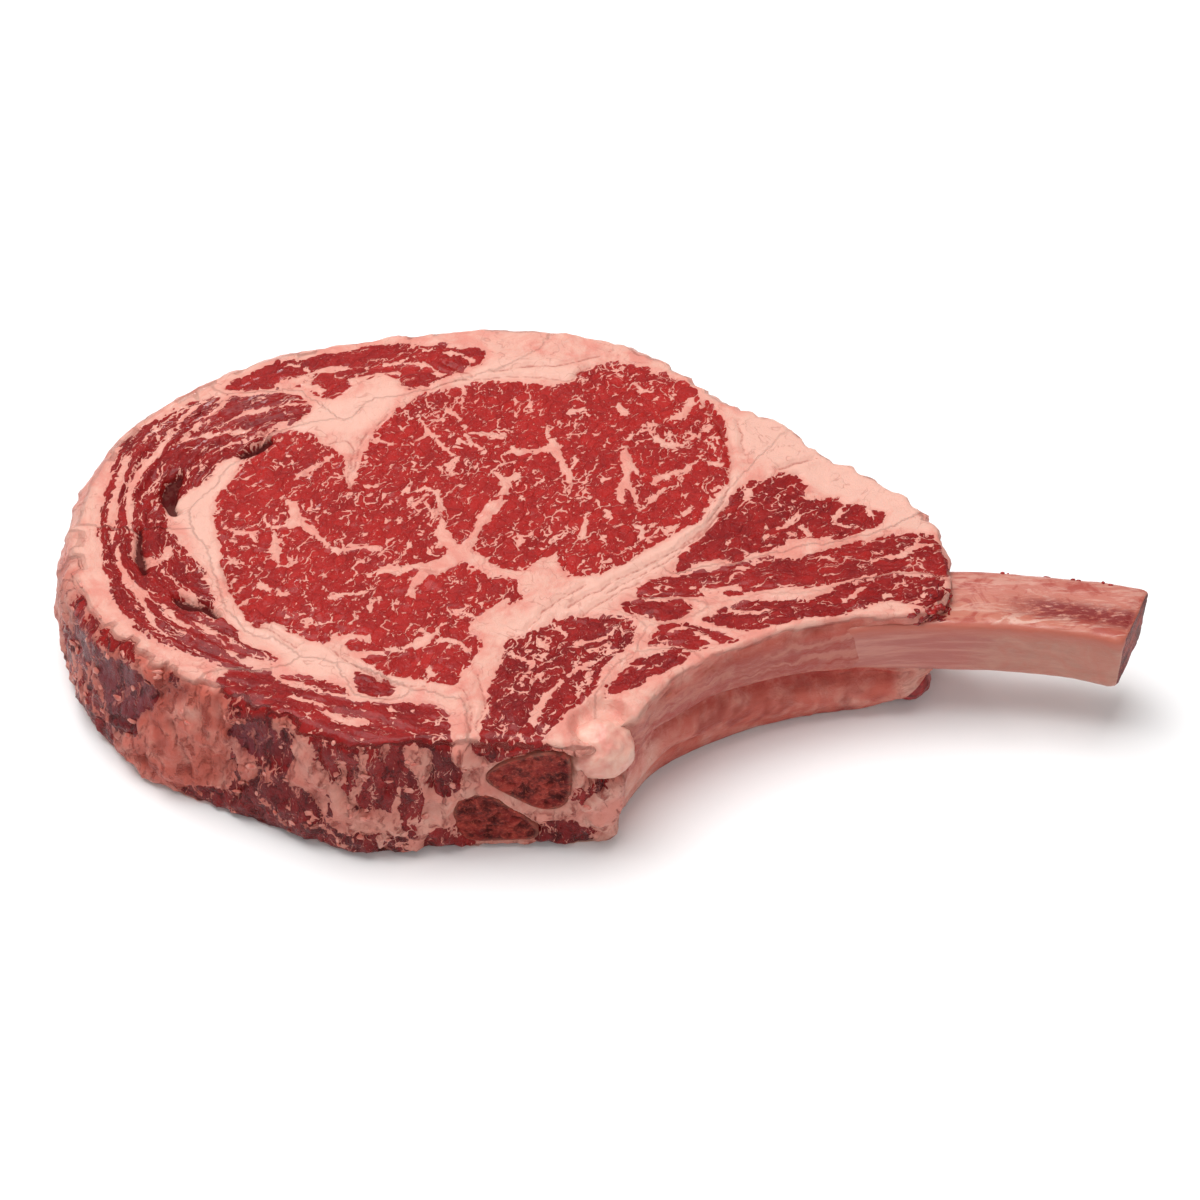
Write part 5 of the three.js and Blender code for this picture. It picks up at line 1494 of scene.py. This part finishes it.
# ------------------------------------------------------------------ scattered crumbs
def scatter_tree(field):
    """Geometry nodes that set small uneven lumps on a mesh, as dense as a field on it says."""
    tree = bpy.data.node_groups.new(field + "_scattered", "GeometryNodeTree")
    tree.is_modifier = True
    for label, kind in (("Geometry", "Geometry"), ("Lumps a square metre", "Float"),
                        ("Smallest", "Vector"), ("Largest", "Vector"), ("Unevenness", "Float"),
                        ("Seed", "Int"), ("Material", "Material")):
        tree.interface.new_socket(label, in_out="INPUT", socket_type="NodeSocket" + kind)
    tree.interface.new_socket("Geometry", in_out="OUTPUT", socket_type="NodeSocketGeometry")
    add = functools.partial(add_node, tree)
    given = add("NodeGroupInput").node.outputs
    here = add("GeometryNodeInputNamedAttribute", (field,), data_type="FLOAT")
    density = add("ShaderNodeMath", (here, given["Lumps a square metre"]), operation="MULTIPLY")
    spots = add("GeometryNodeDistributePointsOnFaces",
                {"Mesh": given["Geometry"], "Density": density, "Seed": given["Seed"]}).node
    ball = add("GeometryNodeMeshUVSphere", (6, 5, 1.0))
    size = add("FunctionNodeRandomValue",
               {"Min": given["Smallest"], "Max": given["Largest"], "Seed": given["Seed"]}, "Value",
               data_type="FLOAT_VECTOR")
    lumps = add("GeometryNodeInstanceOnPoints",
                {"Points": spots.outputs["Points"], "Instance": ball,
                 "Rotation": spots.outputs["Rotation"], "Scale": size})
    lumps = add("GeometryNodeRealizeInstances", (lumps,))
    place = add("GeometryNodeInputPosition")
    shove = add("ShaderNodeTexNoise", (place, 0.6 / MM, 2, 0.5), "Color")
    shove = add("ShaderNodeVectorMath", (shove, (0.5, 0.5, 0.5)), operation="SUBTRACT")
    shove = add("ShaderNodeVectorMath", (shove, given["Unevenness"]), operation="SCALE")
    lumps = add("GeometryNodeSetPosition", {"Geometry": lumps, "Offset": shove})
    lumps = add("GeometryNodeSetShadeSmooth", {"Geometry": lumps})
    lumps = add("GeometryNodeSetMaterial", {"Geometry": lumps, "Material": given["Material"]})
    add("NodeGroupOutput", (lumps,))
    return tree


def scatter(name, carrier, field, density, smallest, largest, seed, material):
    """Lumps on a carrier as a plain mesh of their own; density is in lumps a square mm and
    the sizes are half sizes in mm, the last of each along the carrier's normal."""
    piece = bpy.data.objects.new(name, carrier.data)
    bpy.context.scene.collection.objects.link(piece)
    tree = scatter_tree(field)
    modifier = piece.modifiers.new("Scatter", "NODES")
    modifier.node_group = tree
    sockets = {item.name: item.identifier for item in tree.interface.items_tree
               if item.in_out == "INPUT"}
    for label, value in (("Lumps a square metre", density / MM ** 2), ("Seed", seed),
                         ("Smallest", [MM * part for part in smallest]),
                         ("Largest", [MM * part for part in largest]),
                         ("Unevenness", MM * largest[0]), ("Material", material)):
        modifier[sockets[label]] = value
    graph = bpy.context.evaluated_depsgraph_get()
    mesh = bpy.data.meshes.new_from_object(piece.evaluated_get(graph), depsgraph=graph)
    piece.modifiers.clear()
    piece.data = mesh
    if not mesh.polygons:
        raise RuntimeError(name + " has no lumps")
    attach(piece, "root")
    return piece


# ------------------------------------------------------------------ settings
def colour_setting(name, description, hex_colour):
    """A colour in the sidebar, from its sRGB hex value."""
    return bpy.props.FloatVectorProperty(
        name=name, description=description, subtype="COLOR", size=4, min=0, max=1,
        default=linear(hex_colour))


class SteakSizes(bpy.types.PropertyGroup):
    """Sizes of the dressed pieces."""
    face_step: bpy.props.FloatProperty(
        name="Cut face detail", description="Spacing of the points on the cut face",
        default=0.00064, min=0.0004, max=0.004, unit="LENGTH")
    side_step: bpy.props.FloatProperty(
        name="Side detail", description="Spacing of the points round the side",
        default=0.00105, min=0.0006, max=0.006, unit="LENGTH")


class SteakColours(bpy.types.PropertyGroup):
    """Colours of meat, fat and bone."""
    muscle_bright: colour_setting("Bright muscle", "Muscle where it is palest", "#a8211d")
    muscle_dark: colour_setting("Dark muscle", "Muscle where it is deepest", "#64060b")
    muscle_film: colour_setting("Muscle film", "Thin film between muscle bundles", "#bd4a40")
    fat_pink: colour_setting("Pink fat", "Fat that carries some blood", "#d68b7d")
    fat_pale: colour_setting("Pale fat", "Clean soft fat", "#dca696")
    fat_hard: colour_setting("Hard fat", "Creamy hard fat", "#dfac9c")
    membrane: colour_setting("Membrane", "Silvery membrane on the outside", "#74323a")
    # Also painted shade: the near-black inside of the open gaps, and the base of the painted shade
    # in the torn side's crevices.
    split: colour_setting("Splits", "Inside splits and gaps", "#480b0b")
    # Also painted shade: laid into the dips and crevices of the torn side.
    fat_crease_and_shade: colour_setting("Creases", "Blood-stained creases of the fat", "#94392f")
    # Partly painted shade: the side's fat is darkened with it.
    fat_outer_and_shade: colour_setting("Outer fat", "Darker fat of the torn front", "#bd594a")
    rib_film: colour_setting("Film over the rib", "Grey-pink film on the rib's flat", "#a9564d")
    rib_film_pale: colour_setting("Pale film", "Film over the rib where it is thick", "#bd7668")
    bone_web: colour_setting("Bone membrane", "Whitish membrane left on the bone", "#d8ae9e")
    blood: colour_setting("Blood", "Reddened groove under the rib", "#a4362e")
    bone_pale: colour_setting("Pale bone", "Clean scraped bone", "#c48673")
    bone_pink: colour_setting("Pink bone", "Bone with some blood in its film", "#b96d60")
    bone_blush: colour_setting("Salmon bone", "Film along the edges of the rib", "#b65c49")
    bone_side: colour_setting("Rib side", "Grey-beige flat side of the rib", "#97604f")
    bone_stain: colour_setting("Blood stain", "Blood left on the bone", "#a03a30")
    marrow: colour_setting("Marrow", "Red marrow in sawn bone", "#7c1c1a")
    marrow_dark: colour_setting("Dark marrow", "Marrow gone brown in its pores", "#48100f")
    spongy: colour_setting("Spongy bone", "Brown sawn lattice", "#a03a30")
    gristle: colour_setting("Gristle", "Knob of gristle and hard fat", "#e0b09e")
    floor: colour_setting("Floor", "Pale studio floor", "#f7f7f7")


MEAT_NODES = ("eye_of_rib", "rib_cap_back", "rib_cap_side", "rib_cap_front", "cap_island",
              "side_muscle", "lip_upper", "lip_middle", "lip_lower", "lip_inner",
              "rib_strip_left", "rib_strip_right", "fat")


class STEAK_OT_meat(bpy.types.Operator):
    """Builds the meat and fat as one closed skin over the frame's slab"""
    bl_idname = "steak.meat"
    bl_label = "Raw meat"

    def execute(self, context):
        piece = build_meat(context.scene.steak_sizes)
        piece.data.materials.append(raw_meat_material(context.scene.steak_colours))
        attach(piece, "root")
        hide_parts(*[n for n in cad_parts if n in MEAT_NODES])
        return {"FINISHED"}


class STEAK_OT_rib(bpy.types.Operator):
    """Builds the scraped rib"""
    bl_idname = "steak.rib"
    bl_label = "Scraped rib"

    def execute(self, context):
        piece = build_rib()
        colours = context.scene.steak_colours
        piece.data.materials.append(scraped_bone_material(colours))
        piece.data.materials.append(spongy_bone_material(colours))
        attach(piece, "root")
        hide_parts("rib_bone")
        return {"FINISHED"}


class STEAK_OT_chine(bpy.types.Operator):
    """Builds the two sawn faces of the chine"""
    bl_idname = "steak.chine"
    bl_label = "Sawn chine"

    def execute(self, context):
        material = spongy_bone_material(context.scene.steak_colours)
        for seed, (name, outline) in enumerate(CHINE.items()):
            piece = build_chine(name, outline, 81 + 10 * seed)
            piece.data.materials.append(material)
            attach(piece, "root")
            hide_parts(name)
        return {"FINISHED"}


class STEAK_OT_lumps(bpy.types.Operator):
    """Builds the knob of gristle and the tag of dark muscle under the rib's neck"""
    bl_idname = "steak.lumps"
    bl_label = "Gristle knob and muscle tag"

    def execute(self, context):
        colours = context.scene.steak_colours
        knob = build_lump("gristle_knob", KNOB_CENTRE + (-0.3, -0.6, -0.6),
                          (8.4, 8.1, 7.4), 1.3, 101)
        knob.data.materials.append(lump_material(
            "gristle_and_hard_fat", tuple(colours.fat_pink), tuple(colours.gristle), 0.18, 0.42))
        tag = build_lump("muscle_tag", (82, 3.5, 5.6), (6, 6, 5.4), 0.9, 111)
        tag.data.materials.append(lump_material(
            "dark_raw_muscle", tuple(colours.muscle_dark), tuple(colours.muscle_bright), 0.3,
            0.3))
        for piece, node, finish in ((knob, "cartilage_knob", "cartilage"),
                                    (tag, "rib_end_lobe", "muscle_dark")):
            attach(piece, "root")
            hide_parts(node)
        return {"FINISHED"}


class STEAK_OT_crumbs(bpy.types.Operator):
    """Scatters crumbs of fat on the torn front, shreds of meat at the rib's neck and clots
    of blood along the rib"""
    bl_idname = "steak.crumbs"
    bl_label = "Crumbs and shreds"

    def execute(self, context):
        colours = context.scene.steak_colours
        meat, rib = bpy.data.objects["raw_meat"], bpy.data.objects["scraped_rib"]
        fat = lump_material("fresh_beef_fat", tuple(colours.fat_outer_and_shade), tuple(colours.fat_pink),
                            0.4, 0.35)
        flesh = lump_material("wet_shreds_of_muscle", tuple(colours.muscle_dark),
                              tuple(colours.muscle_bright), 0.3, 0.22)
        for name, carrier, field, density, smallest, largest, material, finish in (
                ("fat_crumbs", meat, "crumbs", 0.03, (0.5, 0.4, 0.2), (1.6, 1.0, 0.5), fat,
                 "fat"),
                ("meat_shreds", meat, "shreds", 0.3, (0.5, 0.4, 0.25), (1.9, 1.2, 0.9), flesh,
                 "muscle_dark"),
                ("neck_shreds", rib, "shreds", 0.3, (0.4, 0.4, 0.2), (1.5, 1.2, 0.6), flesh,
                 "muscle_dark"),
                ("bone_clots", rib, "clots", 0.1, (0.3, 0.3, 0.2), (0.9, 0.7, 0.5), flesh,
                 "muscle_dark")):
            seed = len(name)
            piece = scatter(name, carrier, field, density, smallest, largest, seed, material)
        return {"FINISHED"}


# Name, place, aim, side in metres and power of each lamp.
LIGHTS = (
    ("key_softbox", (-0.2, 0.12, 1.1), (0, 0, 0.02), 0.85, 14.0),
    ("back_glint", (-0.35, 0.85, 0.42), (0, 0, 0.03), 0.09, 0.7),
    ("front_fill", (0.3, -0.9, 0.7), (0, 0, 0.02), 0.9, 2.2),
)
ROOM_LIGHT = 0.34
FLOOR_REACH = 3.0

# The camera looks at the middle of the cut face from the front: its slope downwards, its
# distance in metres, and its lens and film width in millimetres.
CAMERA_SLOPE = math.radians(47)
CAMERA_DISTANCE = 0.72464
LENS, FILM_WIDTH = 85, 36


class STEAK_OT_stage(bpy.types.Operator):
    """Adds the floor, the soft studio lights and the camera"""
    bl_idname = "steak.stage"
    bl_label = "Stage"

    def execute(self, context):
        colours = context.scene.steak_colours
        mesh = bpy.data.meshes.new("floor")
        mesh.from_pydata([(x * FLOOR_REACH, y * FLOOR_REACH, 0)
                          for x, y in ((-1, -1), (1, -1), (1, 1), (-1, 1))], [], [(0, 1, 2, 3)])
        floor = bpy.data.objects.new("floor", mesh)
        context.scene.collection.objects.link(floor)
        material, add = new_material("matt_white_paper_sweep")
        surface = add("ShaderNodeBsdfPrincipled",
                      {"Base Color": tuple(colours.floor), "Roughness": 0.9,
                       "Specular IOR Level": 0.0}, "BSDF")
        add("ShaderNodeOutputMaterial", (surface,))
        mesh.materials.append(material)

        world = bpy.data.worlds.new("soft_white_room")
        context.scene.world = world
        world.use_nodes = True
        world.node_tree.nodes["Background"].inputs["Color"].default_value = (1, 1, 1, 1)
        world.node_tree.nodes["Background"].inputs["Strength"].default_value = ROOM_LIGHT
        for name, place, aim, size, power in LIGHTS:
            light = bpy.data.lights.new(name, "AREA")
            light.size, light.energy = size, power
            lamp = bpy.data.objects.new(name, light)
            lamp.location = place
            lamp.rotation_euler = (Vector(aim) - Vector(place)).to_track_quat(
                "-Z", "Y").to_euler()
            context.scene.collection.objects.link(lamp)

        view = bpy.data.cameras.new("photo_view")
        view.lens, view.sensor_width = LENS, FILM_WIDTH
        camera = bpy.data.objects.new("photo_view", view)
        target = Vector(np.array([0, 0, THICKNESS]) + SHIFT) * MM
        back = Vector((0, -math.cos(CAMERA_SLOPE), math.sin(CAMERA_SLOPE)))
        camera.location = target + back * CAMERA_DISTANCE
        camera.rotation_euler = (-back).to_track_quat("-Z", "Y").to_euler()
        context.scene.collection.objects.link(camera)
        context.scene.camera = camera
        context.scene.view_settings.view_transform = "Standard"
        return {"FINISHED"}


class STEAK_PT_panel(bpy.types.Panel):
    """Lists the steak's pieces, sizes and colours"""
    bl_label = "Raw rib steak"
    bl_space_type = "VIEW_3D"
    bl_region_type = "UI"
    bl_category = "Steak"

    def draw(self, context):
        for operator in OPERATORS:
            self.layout.operator(operator.bl_idname)
        for group in (context.scene.steak_sizes, context.scene.steak_colours):
            for name in group.bl_rna.properties.keys():
                if name not in ("rna_type", "name"):
                    self.layout.prop(group, name)


OPERATORS = (STEAK_OT_stage, STEAK_OT_meat, STEAK_OT_rib, STEAK_OT_chine, STEAK_OT_lumps,
             STEAK_OT_crumbs)
CLASSES = (SteakSizes, SteakColours) + OPERATORS + (STEAK_PT_panel,)


def register():
    for made in CLASSES:
        bpy.utils.register_class(made)
    bpy.types.Scene.steak_sizes = bpy.props.PointerProperty(type=SteakSizes)
    bpy.types.Scene.steak_colours = bpy.props.PointerProperty(type=SteakColours)


def unregister():
    del bpy.types.Scene.steak_colours
    del bpy.types.Scene.steak_sizes
    for made in reversed(CLASSES):
        bpy.utils.unregister_class(made)


def main():
    register()
    bpy.ops.steak.stage()
    bpy.ops.steak.meat()
    bpy.ops.steak.rib()
    bpy.ops.steak.chine()
    bpy.ops.steak.lumps()
    bpy.ops.steak.crumbs()


if __name__ == "__main__":
    main()
